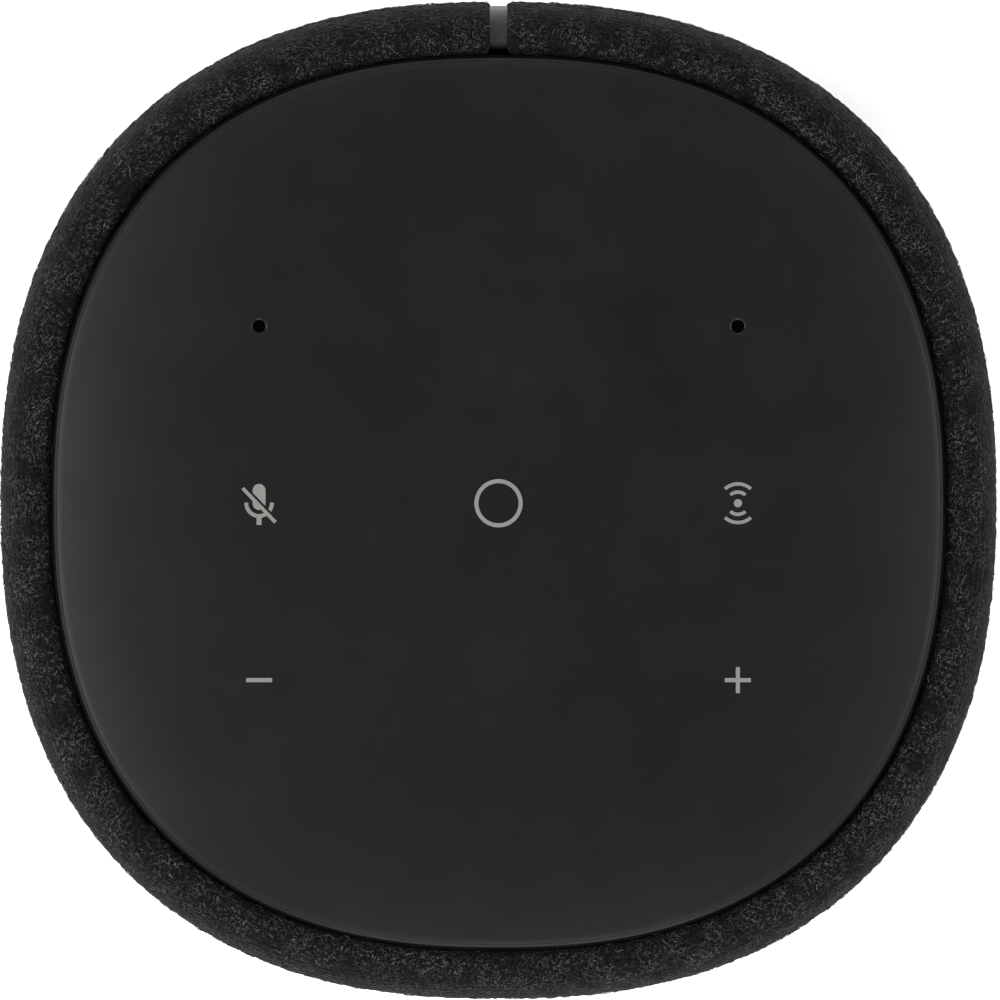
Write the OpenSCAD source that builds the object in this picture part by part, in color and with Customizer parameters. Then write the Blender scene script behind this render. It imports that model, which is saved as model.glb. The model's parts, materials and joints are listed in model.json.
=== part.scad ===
// Fabric-wrapped smart speaker hub with a touch panel, two drivers and a built-in mains supply.
// Origin: centre of the footprint on the table. +Z is up, the drivers face -Y, the fabric seam is at +Y.

/* [Body] */
// Greatest width of the fabric body, the same side to side and front to back
body_w = 140; // [140:1:146]
// Height from the table to the crown of the top panel
body_h = 188; // [188:1:194]
// Squareness of the plan outline, where 2 is a circle
plan_power = 2.37; // [2.34:0.01:2.5]
// Height of the widest section
belly_z = 80; // [70:1:95]
// How far each side draws in between the belly and the shoulder
shoulder_inset = 2.6; // [1.8:0.1:2.8]
// How far each side draws in between the belly and the lower hem
base_inset = 4; // [3:0.1:4]
// Thickness of the wool-blend fabric
fabric_t = 1.6; // [1.2:0.1:1.6]

/* [Top panel] */
// Width of the touch panel
panel_w = 120; // [119:0.5:120]
// Fall of the panel's face from its crown to its rim
panel_fall = 3.2; // [2.6:0.1:3.2]
// Thickness of the panel
panel_t = 2.2; // [2:0.1:2.2]
// Distance of the side touch keys from the centre line
key_x = 32.2; // [30:0.1:33]
// Distance from the middle row of touch keys to the volume row and to the microphones
key_y = 23.8; // [22:0.1:24]
// Diameter of a microphone hole
mic_d = 1.7; // [1.5:0.1:2]

/* [Drivers] */
// Height of the woofer's axis
woofer_z = 78; // [78:0.5:80]
// Height of the tweeter's axis
tweeter_z = 142; // [142:0.5:142.5]
// Outer diameter of the woofer's basket
woofer_d = 89; // [88:0.5:89]
// Inner diameter of the bass port
port_d = 20; // [16:1:20]

/* [Mains inlet] */
// Distance between the centres of the inlet's two pins
pin_pitch = 8.6; // [8.6:0.1:8.7]
// Diameter of each pin
pin_d = 2.4; // [2.3:0.1:2.4]

/* [Hidden] */
$fn = 64;

plan_steps = 64;
slip = 0.05;

// Heights
hem_z = 9.2;
shoulder_z = body_h - 14;
roll_z = body_h - 4;
rim_z = body_h - 5;
touch_z = body_h - 9;
carrier_z = body_h - 13;
cabinet_z0 = 30;
cabinet_z1 = body_h - 26;
main_z = cabinet_z1 + 4;

// Half widths
panel_half = panel_w / 2;
groove = 0.9;
roll_half = panel_half + 2.4;
tuck_half = panel_half + groove;
cabinet_half = body_w / 2 - 9;
wall_t = 3;

// Depths, front to back
baffle_y = -46;
baffle_t = 4;
split_y = 10;
rear_y = 48;
gasket_t = 1;

// Fabric and the frame that carries it
frame_gap = 0.35;
frame_t = 2.2;
rib_count = 32;
rib_w = 3;
seam_w = 2.9;
spine_w = 2.4;
spine_recess = 0.5;

// Rear plate with the sockets
plate_w = 38;
plate_z0 = 9.3;
plate_z1 = 34;
plate_recess = 1;
plate_t = 2.5;
sockets_y = body_w / 2 - 4.6;
shelf_y = sockets_y - 3.2;
inlet_x = -6.5;
inlet_z = 24;
inlet_r = 4;
inlet_spread = 3.2;
inlet_depth = 9.5;
service_x = 11.5;

// Screw places
base_screw_at = [[-41, -25.5], [41, -25.5], [-41, 25.5], [41, 25.5]];
carrier_screw_at = [[-44, -30], [44, -30], [-44, 30], [44, 30]];
board_screw_at = [[-38, -14], [38, -14], [-38, 14], [38, 14]];
touch_screw_at = [[-42, -12], [42, -12], [-42, 12], [42, 12]];
cabinet_screw_at = [for (x = [-53.5, 53.5], z = [37, 96, 155]) [x, z]];
cabinet_seat_y = 24;
mic_at = [[-key_x, key_y], [key_x, key_y]];

// Port and pad inside the cabinet
port_at = [20, 140];
port_y0 = -10;

// Colours
panel_colour = [0.13, 0.135, 0.135];
fabric_colour = [0.11, 0.115, 0.12];
plastic_colour = [0.09, 0.09, 0.095];
legend_colour = [0.60, 0.60, 0.57];
board_colour = [0.05, 0.22, 0.13];
rubber_colour = [0.05, 0.05, 0.05];
steel_colour = [0.72, 0.73, 0.75];
chip_colour = [0.06, 0.06, 0.07];
brass_colour = [0.78, 0.66, 0.36];
clear_colour = [0.86, 0.88, 0.88];

// ---- Outline and profile functions ----

// Distance to the plan outline of half width 1 in the direction a
function plan_reach(a) =
    pow(pow(abs(cos(a)), plan_power) + pow(abs(sin(a)), plan_power), -1 / plan_power);
function plan_points(half) =
    [for (i = [0:plan_steps - 1]) let (a = 360 * i / plan_steps) half * plan_reach(a) * [cos(a), sin(a)]];
// Half width of the outline that passes through the point x, y
function plan_half(x, y) = pow(pow(abs(x), plan_power) + pow(abs(y), plan_power), 1 / plan_power);

// Half width of the fabric's outer face at height z
function belly(z) =
    body_w / 2 - (z > belly_z
        ? shoulder_inset * pow((z - belly_z) / (shoulder_z - belly_z), 2)
        : base_inset * pow((belly_z - z) / (belly_z - hem_z), 2.2));

// The side of the body from z0 to z1 as [half width, z], set in by inset
function side_line(inset, z0, z1, steps) =
    [for (i = [0:steps]) let (z = z0 + (z1 - z0) * i / steps) [belly(z) - inset, z]];
// The roll over the shoulder, from the side at 0 degrees to the top at 90
function roll_line(inset, a0, a1, steps) =
    [for (i = [0:steps])
        let (a = a0 + (a1 - a0) * i / steps)
        [roll_half + (belly(shoulder_z) - roll_half - inset) * cos(a),
         shoulder_z + (roll_z - shoulder_z - inset) * sin(a)]];
function arc_line(centre, r, a0, a1, steps) =
    [for (i = [0:steps]) let (a = a0 + (a1 - a0) * i / steps) centre + r * [cos(a), sin(a)]];
function scaled(line, k) = [for (p = line) [p[0] * k, p[1]]];
// A dome's section, from its edge at radius r up to its crown h above, t thick, with its edge at height z
function dome_section(r, h, t, z) =
    let (ball_r = (r * r + h * h) / (2 * h), centre = [0, z + h - ball_r], half = asin(r / ball_r))
    concat(
        [for (i = [0:8]) centre + ball_r * [cos(90 - half + half * i / 8) * (i < 8 ? 1 : 0),
                                            sin(90 - half + half * i / 8)]],
        [for (i = [0:8]) centre + (ball_r - t) * [cos(90 - half * i / 8) * (i > 0 ? 1 : 0),
                                                  sin(90 - half * i / 8)]]);

// Height of the panel's face over the point x, y
function panel_z_at(rho) = body_h - panel_fall * pow(rho, 5);
function panel_z(x, y) = panel_z_at(plan_half(x, y) / panel_half);

// ---- General shapes ----

module plan(half) polygon(plan_points(half));

module slab(half, z0, z1) {
    translate([0, 0, z0])
        linear_extrude(z1 - z0)
            plan(half);
}

module band(outer, inner, z0, z1) {
    translate([0, 0, z0])
        linear_extrude(z1 - z0)
            difference() {
                plan(outer);
                plan(inner);
            }
}

// Sweeps a closed loop of [half width, z] round the plan outline; the loop runs anticlockwise
module ring_loft(loop) {
    n = len(loop);
    polyhedron(
        points = [for (i = [0:plan_steps - 1])
            let (a = 360 * i / plan_steps, k = plan_reach(a))
            for (p = loop) [p[0] * k * cos(a), p[0] * k * sin(a), p[1]]],
        faces = [for (i = [0:plan_steps - 1], j = [0:n - 1])
            let (i2 = (i + 1) % plan_steps, j2 = (j + 1) % n)
            [i * n + j, i * n + j2, i2 * n + j2, i2 * n + j]]);
}

// Sweeps an open line of [half width, z] round the outline and closes it to the axis at z_low and z_high
module cap_loft(line, z_low, z_high) {
    n = len(line);
    low = plan_steps * n;
    high = low + 1;
    polyhedron(
        points = concat(
            [for (i = [0:plan_steps - 1])
                let (a = 360 * i / plan_steps, k = plan_reach(a))
                for (p = line) [p[0] * k * cos(a), p[0] * k * sin(a), p[1]]],
            [[0, 0, z_low], [0, 0, z_high]]),
        faces = [for (i = [0:plan_steps - 1])
            let (i2 = (i + 1) % plan_steps)
            for (j = [-1:n - 1])
                j < 0 ? [low, i * n, i2 * n]
                : j == n - 1 ? [i * n + j, high, i2 * n + j]
                : [i * n + j, i * n + j + 1, i2 * n + j + 1, i2 * n + j]]);
}

module box(low, high) translate(low) cube(high - low);

module rounded(w, h, r) {
    offset(r = r)
        square([w - 2 * r, h - 2 * r], center = true);
}

module ring(outer, inner) {
    difference() {
        circle(outer);
        circle(inner);
    }
}

// A drawing in the YZ plane made w thick along X, and one in the XZ plane made w thick along Y
module across_x(w) rotate([90, 0, 90]) linear_extrude(w, center = true) children();
module across_y(w) rotate([90, 0, 0]) linear_extrude(w, center = true) children();

// Flat strip of thickness t that follows the points of a line
module strip(line, t) {
    for (i = [0:len(line) - 2]) {
        run = line[i + 1] - line[i];
        translate(line[i])
            rotate(atan2(run[1], run[0]))
                translate([0, -t / 2])
                    square([norm(run), t]);
        if (i > 0) translate(line[i]) circle(t / 2);
    }
}

// Pan-head screw pointing down, with its head's seat at z = 0
module screw(shaft_d, length, head_d, head_h) {
    slot_w = head_d * 0.16;
    difference() {
        union() {
            cylinder(d = head_d, h = head_h);
            translate([0, 0, -length]) cylinder(d = shaft_d, h = length + slip);
        }
        for (a = [0, 90])
            rotate(a)
                translate([-head_d * 0.28, -slot_w / 2, head_h * 0.45])
                    cube([head_d * 0.56, slot_w, head_h]);
    }
}

// ---- Top panel and touch keys ----

module microphone_symbol() {
    capsule_r = 0.87;
    holder_r = 1.98;
    stroke = 0.52;
    slash_at = [0, -0.27];
    difference() {
        union() {
            translate([0, 1.73]) circle(capsule_r);
            translate([-capsule_r, -0.03]) square([2 * capsule_r, 1.76]);
            translate([0, -0.03]) circle(capsule_r);
            difference() {
                ring(holder_r, holder_r - stroke);
                translate([-3, 0.08]) square([6, 3]);
            }
            translate([-0.34, -2.92]) square([0.68, 1.2]);
        }
        translate(slash_at) rotate(-46) translate([-3.6, 0]) square([7.2, 0.55]);
    }
    translate(slash_at) rotate(-46) translate([-3.18, -0.24]) square([6.36, 0.48]);
}

module wireless_symbol() {
    circle(0.55);
    for (side = [90, 270], r = [1.5, 2.6])
        rotate(side)
            intersection() {
                ring(r + 0.23, r - 0.23);
                polygon([[0, 0], [4, -3.6], [4, 3.6]]);
            }
}

module symbol(name) {
    if (name == "icon_mic_mute") microphone_symbol();
    if (name == "icon_action_ring") ring(3.25, 2.7);
    if (name == "icon_wireless") wireless_symbol();
    if (name == "icon_volume_down") square([3.5, 0.56], center = true);
    if (name == "icon_volume_up") {
        square([3.5, 0.56], center = true);
        square([0.56, 3.5], center = true);
    }
}

keys = [
    ["icon_mic_mute", [-key_x, 0]],
    ["icon_action_ring", [0, 0]],
    ["icon_wireless", [key_x, 0]],
    ["icon_volume_down", [-key_x, -key_y]],
    ["icon_volume_up", [key_x, -key_y]]
];
icon_depth = 0.5;
icon_stand = 0.06;

// The solid of a key's legend, from its pocket's floor up to height top above the panel's face
module legend(key, top) {
    translate([key[1][0], key[1][1], panel_z(key[1][0], key[1][1]) - icon_depth])
        linear_extrude(icon_depth + top)
            symbol(key[0]);
}

module icon(name) {
    color(legend_colour)
        for (key = keys)
            if (key[0] == name) legend(key, icon_stand);
}

module top_panel() {
    skirt_out = panel_half - 1.4;
    skirt_in = panel_half - 2.8;
    under = [for (rho = [0.3, 0.6, 0.8, 0.9]) [panel_half * rho, panel_z_at(rho) - panel_t]];
    face = [for (rho = [0.988, 0.95, 0.9, 0.83, 0.75, 0.65, 0.5, 0.3]) [panel_half * rho, panel_z_at(rho)]];
    rim = [[skirt_in, rim_z], [skirt_in, rim_z - 2.5], [skirt_out, rim_z - 2.5], [skirt_out, rim_z],
           [panel_half, rim_z], [panel_half, rim_z + 1.3], [panel_half - 0.55, rim_z + 1.75]];
    color(panel_colour)
        difference() {
            cap_loft(concat(under, rim, face), body_h - panel_t, body_h);
            for (key = keys) legend(key, 2);
            for (at = mic_at)
                translate([at[0], at[1], body_h - 6]) cylinder(d = mic_d, h = 8);
        }
}

// ---- Touch electronics under the panel ----

mic_under_z = panel_z(key_x, key_y) - panel_t;
boot_top_z = mic_under_z - 0.5;

module mic_mesh(at) {
    color(chip_colour)
        translate([at[0], at[1], boot_top_z]) cylinder(d = 5, h = 0.2);
}

module mic_boot(at) {
    color(rubber_colour)
        translate([at[0], at[1], 0])
            difference() {
                translate([0, 0, touch_z + 1.6]) cylinder(d = 7, h = boot_top_z - touch_z - 1.6);
                translate([0, 0, touch_z + 2]) cylinder(d = 1.8, h = 6);
                box([-2.1, -1.7, touch_z + 1.5], [2.1, 1.7, touch_z + 2.8]);
            }
}

module microphones() {
    color(steel_colour)
        for (at = mic_at)
            translate([at[0], at[1], touch_z + 1.6])
                difference() {
                    box([-1.9, -1.5, 0], [1.9, 1.5, 1.1]);
                    translate([0, 0, 0.7]) cylinder(d = 0.8, h = 1);
                }
}

guide_w = 76;
guide_h = 60;
guide_z = touch_z + 4.4;
film_z = guide_z + 1.35;

module mic_clearance() {
    for (at = mic_at)
        translate([at[0], at[1], touch_z]) cylinder(d = 7.6, h = 10);
}

module light_guide() {
    color(clear_colour)
        difference() {
            union() {
                translate([0, 0, guide_z]) linear_extrude(1.3) rounded(guide_w, guide_h, 6);
                for (key = keys)
                    translate([key[1][0], key[1][1], touch_z + 2.6])
                        cylinder(d = 8, h = panel_z(key[1][0], key[1][1]) - panel_t - touch_z - 3.1);
            }
            mic_clearance();
        }
}

module touch_film() {
    color([0.55, 0.38, 0.16])
        difference() {
            translate([0, 0, film_z]) linear_extrude(0.15) rounded(guide_w - 2, guide_h - 2, 6);
            mic_clearance();
            for (key = keys)
                translate([key[1][0], key[1][1], touch_z]) cylinder(d = 8.3, h = 10);
        }
}

module touch_board() {
    color(board_colour)
        difference() {
            slab(50, touch_z, touch_z + 1.6);
            for (at = touch_screw_at)
                translate([at[0], at[1], touch_z - 1]) cylinder(d = 2.2, h = 4);
        }
    color(chip_colour) {
        box([-5, 30, touch_z + 1.6], [5, 35, touch_z + 2.4]);
        box([-16, 32, touch_z + 1.6], [-12, 36, touch_z + 2.3]);
    }
    color([0.88, 0.86, 0.80]) box([-12, -17, touch_z - 1.8], [-9.1, -5, touch_z]);
}

module touch_leds() {
    ring_leds = [for (a = [45:90:315]) 2.6 * [cos(a), sin(a)]];
    key_leds = [for (key = keys) if (key[0] != "icon_action_ring") key[1]];
    color(clear_colour)
        for (at = concat(ring_leds, key_leds))
            translate([at[0], at[1], touch_z + 1.95]) cube([1.6, 0.8, 0.7], center = true);
}

module touch_board_screws() {
    color(steel_colour)
        for (at = touch_screw_at)
            translate([at[0], at[1], touch_z + 1.6]) screw(2, 4.4, 4.2, 1.5);
}

module ribbon_cable() {
    low_z = main_z + 2.9;
    high_z = touch_z - 0.9;
    line = [[-11, low_z], [-2, low_z], [2, low_z + 1.5], [2.6, high_z - 2.6], [1, high_z], [-9, high_z]];
    color([0.85, 0.85, 0.83])
        translate([0, -11, 0]) across_y(10) strip(line, 0.35);
}

// ---- Top carrier, fabric and frame ----

module top_carrier() {
    wall_out = panel_half + 0.4;
    color(plastic_colour)
        difference() {
            union() {
                slab(panel_half - 1, carrier_z, carrier_z + 2);
                band(wall_out, panel_half - 1.2, carrier_z - 3, rim_z);
                band(wall_out + 2.6, wall_out - 0.2, carrier_z - 3, carrier_z - 1.5);
                for (at = carrier_screw_at)
                    translate([at[0], at[1], cabinet_z1]) cylinder(d = 7, h = carrier_z - cabinet_z1 + 0.5);
                for (at = touch_screw_at)
                    translate([at[0], at[1], carrier_z + 1.5])
                        cylinder(d = 6, h = touch_z - carrier_z - 1.5);
            }
            for (at = carrier_screw_at)
                translate([at[0], at[1], cabinet_z1 - 1]) cylinder(d = 3.4, h = 20);
            for (at = touch_screw_at)
                translate([at[0], at[1], carrier_z - 1]) cylinder(d = 2.1, h = 8);
            translate([0, -10, carrier_z - 1]) cylinder(d = 34, h = 4);
        }
}

module carrier_screws() {
    color(steel_colour)
        for (at = carrier_screw_at)
            translate([at[0], at[1], carrier_z + 2]) screw(3, 21, 5.6, 1.6);
}

module seam_and_window() {
    box([-seam_w / 2, 40, plate_z1 - 4], [seam_w / 2, 90, body_h + 5]);
    box([-plate_w / 2 - 0.4, 40, 0], [plate_w / 2 + 0.4, 90, plate_z1 + 0.4]);
}

module fabric_sleeve() {
    fold_r = 2.6;
    fold_z = hem_z + fold_r;
    tuck_r = roll_half - tuck_half;
    outside = concat(
        arc_line([belly(fold_z) - fold_r, fold_z], fold_r, -90, -18, 4),
        side_line(0, fold_z, shoulder_z, 11),
        roll_line(0, 11.25, 90, 7),
        arc_line([roll_half, roll_z - tuck_r], tuck_r, 120, 180, 2));
    tuck = [
        [tuck_half, roll_z - 6],
        [tuck_half + fabric_t, roll_z - 6],
        [tuck_half + fabric_t, roll_z - 2.6]
    ];
    inside = concat(
        roll_line(fabric_t, 75, 15, 4),
        side_line(fabric_t, shoulder_z, fold_z, 11));
    hem = [[belly(hem_z) - fabric_t - 0.6, hem_z + fabric_t], [61.5, hem_z + fabric_t], [61.5, hem_z]];
    color(fabric_colour)
        difference() {
            ring_loft(concat(outside, tuck, inside, hem));
            seam_and_window();
        }
}

// One rib of the frame, as [reach, z], at plan direction a
function rib_outline(a, z0, inset_out, inset_in) =
    scaled(concat(
        side_line(inset_out, z0, shoulder_z, 6),
        roll_line(inset_out, 20, 60, 2),
        [[tuck_half + fabric_t + 0.35, roll_z - 4.4], [tuck_half + fabric_t + 0.35, roll_z - 8]],
        side_line(inset_in, shoulder_z - 2, z0, 6)), plan_reach(a));

module grille_frame() {
    inset_out = fabric_t + frame_gap;
    inset_in = inset_out + frame_t;
    low_z = hem_z + fabric_t + 0.2;
    color(plastic_colour)
        difference() {
            union() {
                for (i = [0:rib_count - 1]) {
                    a = 360 * i / rib_count;
                    rotate(a)
                        across_y(abs(a - 90) < 1 ? 9 : rib_w)
                            polygon(rib_outline(a, low_z + 1, inset_out, inset_in));
                }
                for (z = [plate_z1 + 2.6, 58, 81, 104, 127, 150, shoulder_z - 3])
                    band(belly(z) - inset_out - 0.1, belly(z) - inset_in + 0.3, z - 1.2, z + 1.2);
                band(belly(low_z) - inset_out - 0.3, 61.6, low_z, low_z + 4);
                band(roll_half + 1.5, tuck_half + fabric_t + 0.3, roll_z - 7, roll_z - 3.2);
            }
            box([-plate_w / 2 - 1, 40, 0], [plate_w / 2 + 1, 90, plate_z1 + 1]);
        }
}

module rear_spine() {
    back = fabric_t + frame_gap - 0.1;
    foot = plate_z1 + 0.6;
    tip = [[tuck_half + 0.7, roll_z - 1], [tuck_half + 0.4, roll_z - 1.7], [tuck_half + 0.4, roll_z - 5.6],
           [tuck_half + 1.4, roll_z - 5.6], [tuck_half + 1.4, roll_z - 2.8]];
    color([0.2, 0.205, 0.21])
        across_x(spine_w)
            polygon(concat(
                side_line(spine_recess, foot, shoulder_z, 12),
                roll_line(spine_recess, 10, 90, 8),
                tip,
                roll_line(back, 70, 10, 6),
                side_line(back, shoulder_z, foot, 12)));
}

// ---- Base and rear plate ----

module base_cover() {
    floor_z = 2;
    skin = [[41.6, floor_z], [41.6, floor_z + 1.1], [50.4, floor_z + 1.1], [50.4, floor_z],
            [56, floor_z], [58.6, floor_z + 0.5], [60.8, floor_z + 1.9],
            [62.4, floor_z + 4], [63.4, hem_z - 0.1],
            [61.3, hem_z - 0.1], [61.3, 16], [59.5, 16], [59.5, 7.5], [55, floor_z + 2.6]];
    color(plastic_colour)
        difference() {
            union() {
                cap_loft(skin, floor_z, floor_z + 2.6);
                for (at = base_screw_at)
                    translate([at[0], at[1], floor_z + 1.2])
                        cylinder(d = 10, h = cabinet_z0 - floor_z - 1.2);
                for (at = supply_screw_at)
                    translate([at[0], at[1], floor_z + 2]) cylinder(d = 6, h = supply_z - floor_z - 2);
                box([inlet_x - 8, 54, floor_z + 2], [inlet_x + 8, 60.5, inlet_z - 6.52]);
                box([service_x - 4.5, 54, floor_z + 2], [service_x + 4.5, 60.5, inlet_z - 2.52]);
            }
            for (at = base_screw_at) {
                translate([at[0], at[1], floor_z]) cylinder(d = 3.4, h = 40);
                translate([at[0], at[1], floor_z - 1]) cylinder(d = 6.6, h = 5);
            }
            for (at = supply_screw_at)
                translate([at[0], at[1], supply_z - 5]) cylinder(d = 2.6, h = 6);
        }
}

module foot_ring() {
    color(rubber_colour) band(50.2, 41.8, 0, 3.05);
}

module base_screws() {
    color(steel_colour)
        for (at = base_screw_at)
            translate([at[0], at[1], 6]) mirror([0, 0, 1]) screw(3, 32, 6, 2.4);
}

// Outline of the inlet's opening, two circles joined by a bridge
module inlet_outline(grow) {
    for (side = [-1, 1])
        translate([side * inlet_spread, 0]) circle(inlet_r + grow);
    square([2 * inlet_spread, 2 * (inlet_r + grow) - 0.02], center = true);
}

// Places a drawing in the rear plate's plane, made deep from the plane y towards the front
module from_rear(x, z, y, deep) {
    translate([x, y, z]) rotate([90, 0, 0]) linear_extrude(deep) children();
}

module port_plate() {
    low_z = plate_z0 - 1;
    high_z = plate_z1 + 1;
    wall = concat(
        side_line(plate_recess, low_z, high_z, 5),
        side_line(plate_recess + plate_t, high_z, low_z, 5));
    color(plastic_colour)
        difference() {
            intersection() {
                ring_loft(wall);
                translate([0, 0, (plate_z0 + plate_z1) / 2])
                    from_rear(0, 0, body_w, body_w)
                        rounded(plate_w, plate_z1 - plate_z0, 2.5);
            }
            from_rear(inlet_x, inlet_z, body_w, body_w) inlet_outline(collar_t + 0.1);
            from_rear(service_x, inlet_z, body_w, body_w) rounded(8.6, 3.6, 0.8);
        }
}

collar_t = 1.1;

module inlet_socket() {
    back_y = sockets_y - inlet_depth - 3;
    color([0.07, 0.07, 0.07])
        difference() {
            union() {
                from_rear(inlet_x, inlet_z, shelf_y, shelf_y - back_y) square([20, 13], center = true);
                from_rear(inlet_x, inlet_z, sockets_y, 6) inlet_outline(collar_t);
            }
            from_rear(inlet_x, inlet_z, sockets_y + 1, inlet_depth + 1) inlet_outline(0);
            for (side = [-1, 1])
                from_rear(inlet_x + side * pin_pitch / 2, inlet_z, sockets_y, 20) circle(d = pin_d - 0.36);
        }
}

pin_tip_y = sockets_y - 2;
pin_floor_y = sockets_y - inlet_depth;
pin_tail_y = pin_floor_y - 5.5;
pin_tail_d = pin_d - 0.4;

module inlet_pins() {
    color(steel_colour)
        for (side = [-1, 1])
            translate([inlet_x + side * pin_pitch / 2, 0, inlet_z]) {
                from_rear(0, 0, pin_floor_y, pin_floor_y - pin_tail_y) circle(d = pin_tail_d);
                from_rear(0, 0, pin_tip_y, pin_tip_y - pin_floor_y) circle(d = pin_d);
                translate([0, pin_tip_y, 0]) rotate([-90, 0, 0])
                    cylinder(d1 = pin_d, d2 = pin_d * 0.6, h = 0.6);
            }
}

module service_socket() {
    board_y = shelf_y - 11;
    color(steel_colour) {
        difference() {
            from_rear(service_x, inlet_z, sockets_y, 6) rounded(7.8, 2.8, 0.6);
            from_rear(service_x, inlet_z, sockets_y + 1, 6) rounded(7.2, 2.2, 0.5);
        }
        from_rear(service_x, inlet_z + 0.2, sockets_y - 0.8, 4.6) square([3.8, 0.6], center = true);
    }
    color(board_colour)
        box([service_x - 5.5, board_y, inlet_z - 2.5], [service_x + 5.5, shelf_y - 0.2, inlet_z - 1.45]);
}

// ---- Mains supply in the base ----

supply_z = 9;
supply_screw_at = [for (x = [-32, 32], y = [-28, 28]) [x, y]];

module supply_board() {
    color(board_colour)
        difference() {
            translate([0, 0, supply_z]) linear_extrude(1.6) rounded(70, 66, 3);
            for (at = supply_screw_at)
                translate([at[0], at[1], supply_z - 1]) cylinder(d = 3, h = 4);
        }
    color(steel_colour)
        for (at = supply_screw_at)
            translate([at[0], at[1], supply_z + 1.62]) screw(2.5, 5, 5, 1.6);
}

module supply_parts() {
    top = supply_z + 1.6;
    color([0.10, 0.12, 0.30])
        translate([-22, 2, top + 6.6]) rotate([90, 0, 0]) cylinder(d = 13, h = 20);
    color([0.12, 0.10, 0.09])
        for (x = [14, 24]) translate([x, -22, top]) cylinder(d = 8, h = 12);
    color([0.25, 0.19, 0.12])
        translate([-14, 18, top + 8.6]) rotate([90, 0, 0]) rotate_extrude() translate([5.6, 0]) circle(2.8);
    color([0.55, 0.50, 0.20]) box([-30, 15, top], [-25, 28 - 4, top + 9]);
    color(clear_colour)
        translate([4, 24, top + 2.8]) rotate([0, 90, 0]) cylinder(d = 5, h = 16);
    color([0.65, 0.66, 0.68]) box([26, -12, top], [28, 8, top + 13]);
    color(chip_colour) box([22, -8, top], [25.9, 3, top + 11]);
    color([0.88, 0.86, 0.80]) box([-8, -30, top], [6, -25, top + 7]);
}

module supply_transformer() {
    top = supply_z + 1.65;
    color([0.08, 0.08, 0.085])
        difference() {
            box([-9, -14, top + 2], [17, 10, top + 17]);
            box([-4.5, -20, top + 5.5], [12.5, 20, top + 13.5]);
        }
    color([0.80, 0.65, 0.15]) box([-4.4, -15.5, top + 5.6], [12.4, 11.5, top + 13.4]);
    color([0.14, 0.13, 0.12])
        for (y = [-17, 11.6]) box([-7, y, top], [15, y + 1.4, top + 15]);
}

module mains_leads() {
    line = [[pin_tail_y - 0.05, inlet_z], [47, inlet_z], [37, 17], [30.5, 12.4]];
    color([0.45, 0.10, 0.08]) translate([inlet_x - pin_pitch / 2, 0, 0]) across_x(2.2) strip(line, 2.2);
    color([0.08, 0.14, 0.42]) translate([inlet_x + pin_pitch / 2, 0, 0]) across_x(2.2) strip(line, 2.2);
}

module supply_harness() {
    rear_run = [[29, 12.2], [38, 12.6], [47, 17], [50.2, 24], [50.2, main_z - 6]];
    line = concat(rear_run, [[48.6, main_z + 1], [42, main_z + 3.4], [38.8, main_z + 3.4]]);
    color([0.15, 0.15, 0.16]) translate([-24, 0, 0]) across_x(9) strip(line, 1.2);
}

// ---- Main board on the cabinet's roof ----

module main_board() {
    color(board_colour)
        difference() {
            slab(46, main_z, main_z + 1.6);
            for (at = board_screw_at)
                translate([at[0], at[1], main_z - 1]) cylinder(d = 3, h = 4);
            box([-4, -24, main_z - 1], [4, -20, main_z + 3]);
        }
}

module main_board_parts() {
    top = main_z + 1.6;
    color(chip_colour) {
        box([-8, 10, top], [6, 24, top + 1.2]);
        box([9, 10, top], [17, 20, top + 1]);
        box([18, -18, top], [26, -10, top + 1]);
        box([-30, -26, top], [-24, -20, top + 1.1]);
    }
    color([0.20, 0.20, 0.21])
        for (x = [12, 20, 28], y = [-34, -27]) box([x, y, top], [x + 6, y + 6, top + 3.4]);
    color([0.12, 0.12, 0.13])
        for (x = [-20, -12, -4]) translate([x, -34, top]) cylinder(d = 6.3, h = 5.4);
    color([0.88, 0.86, 0.80]) {
        box([-13.5, -17, top], [-11.2, -5, top + 2.6]);
        box([-28.5, 33.6, top], [-19.5, 38.6, top + 3]);
        box([-3.5, -30, top], [3.5, -26, top + 4]);
    }
    color(brass_colour)
        for (x = [-34, 32]) translate([x, 4, top]) cylinder(d = 2, h = 1.2);
}

module shield_can() {
    top = main_z + 1.65;
    color(steel_colour)
        difference() {
            box([-12, 7, top], [20, 28, top + 3]);
            box([-11.7, 7.3, top - 1], [19.7, 27.7, top + 2.7]);
            for (x = [-9:4:17], y = [10:4:26]) translate([x, y, top]) cylinder(d = 1.6, h = 4);
        }
}

module heat_spreader() {
    top = main_z + 2.65;
    color([0.70, 0.71, 0.73])
        union() {
            box([15, -21, top], [29, -7, top + 1]);
            for (x = [15.2:2.5:27.8]) box([x, -21, top + 0.5], [x + 0.9, -7, top + 3.8]);
        }
}

module board_screws() {
    color(steel_colour)
        for (at = board_screw_at)
            translate([at[0], at[1], main_z + 1.6]) screw(2.5, 6, 5, 1.8);
}

module antennas() {
    color(brass_colour)
        for (side = [-1, 1])
            on_side(side)
                difference() {
                    box([cabinet_half + 0.1, -12, cabinet_z1 - 24],
                        [cabinet_half + 0.5, 12, cabinet_z1 - 12]);
                    for (y = [-8, 0, 8])
                        box([cabinet_half - 1, y - 1, cabinet_z1 - 21],
                            [cabinet_half + 2, y + 1, cabinet_z1 - 8]);
                }
}

// Leaves its children at +X for side 1 and mirrors them to -X for side -1
module on_side(side) {
    if (side > 0) children();
    else mirror([1, 0, 0]) children();
}

// ---- Speaker cabinet ----

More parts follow.
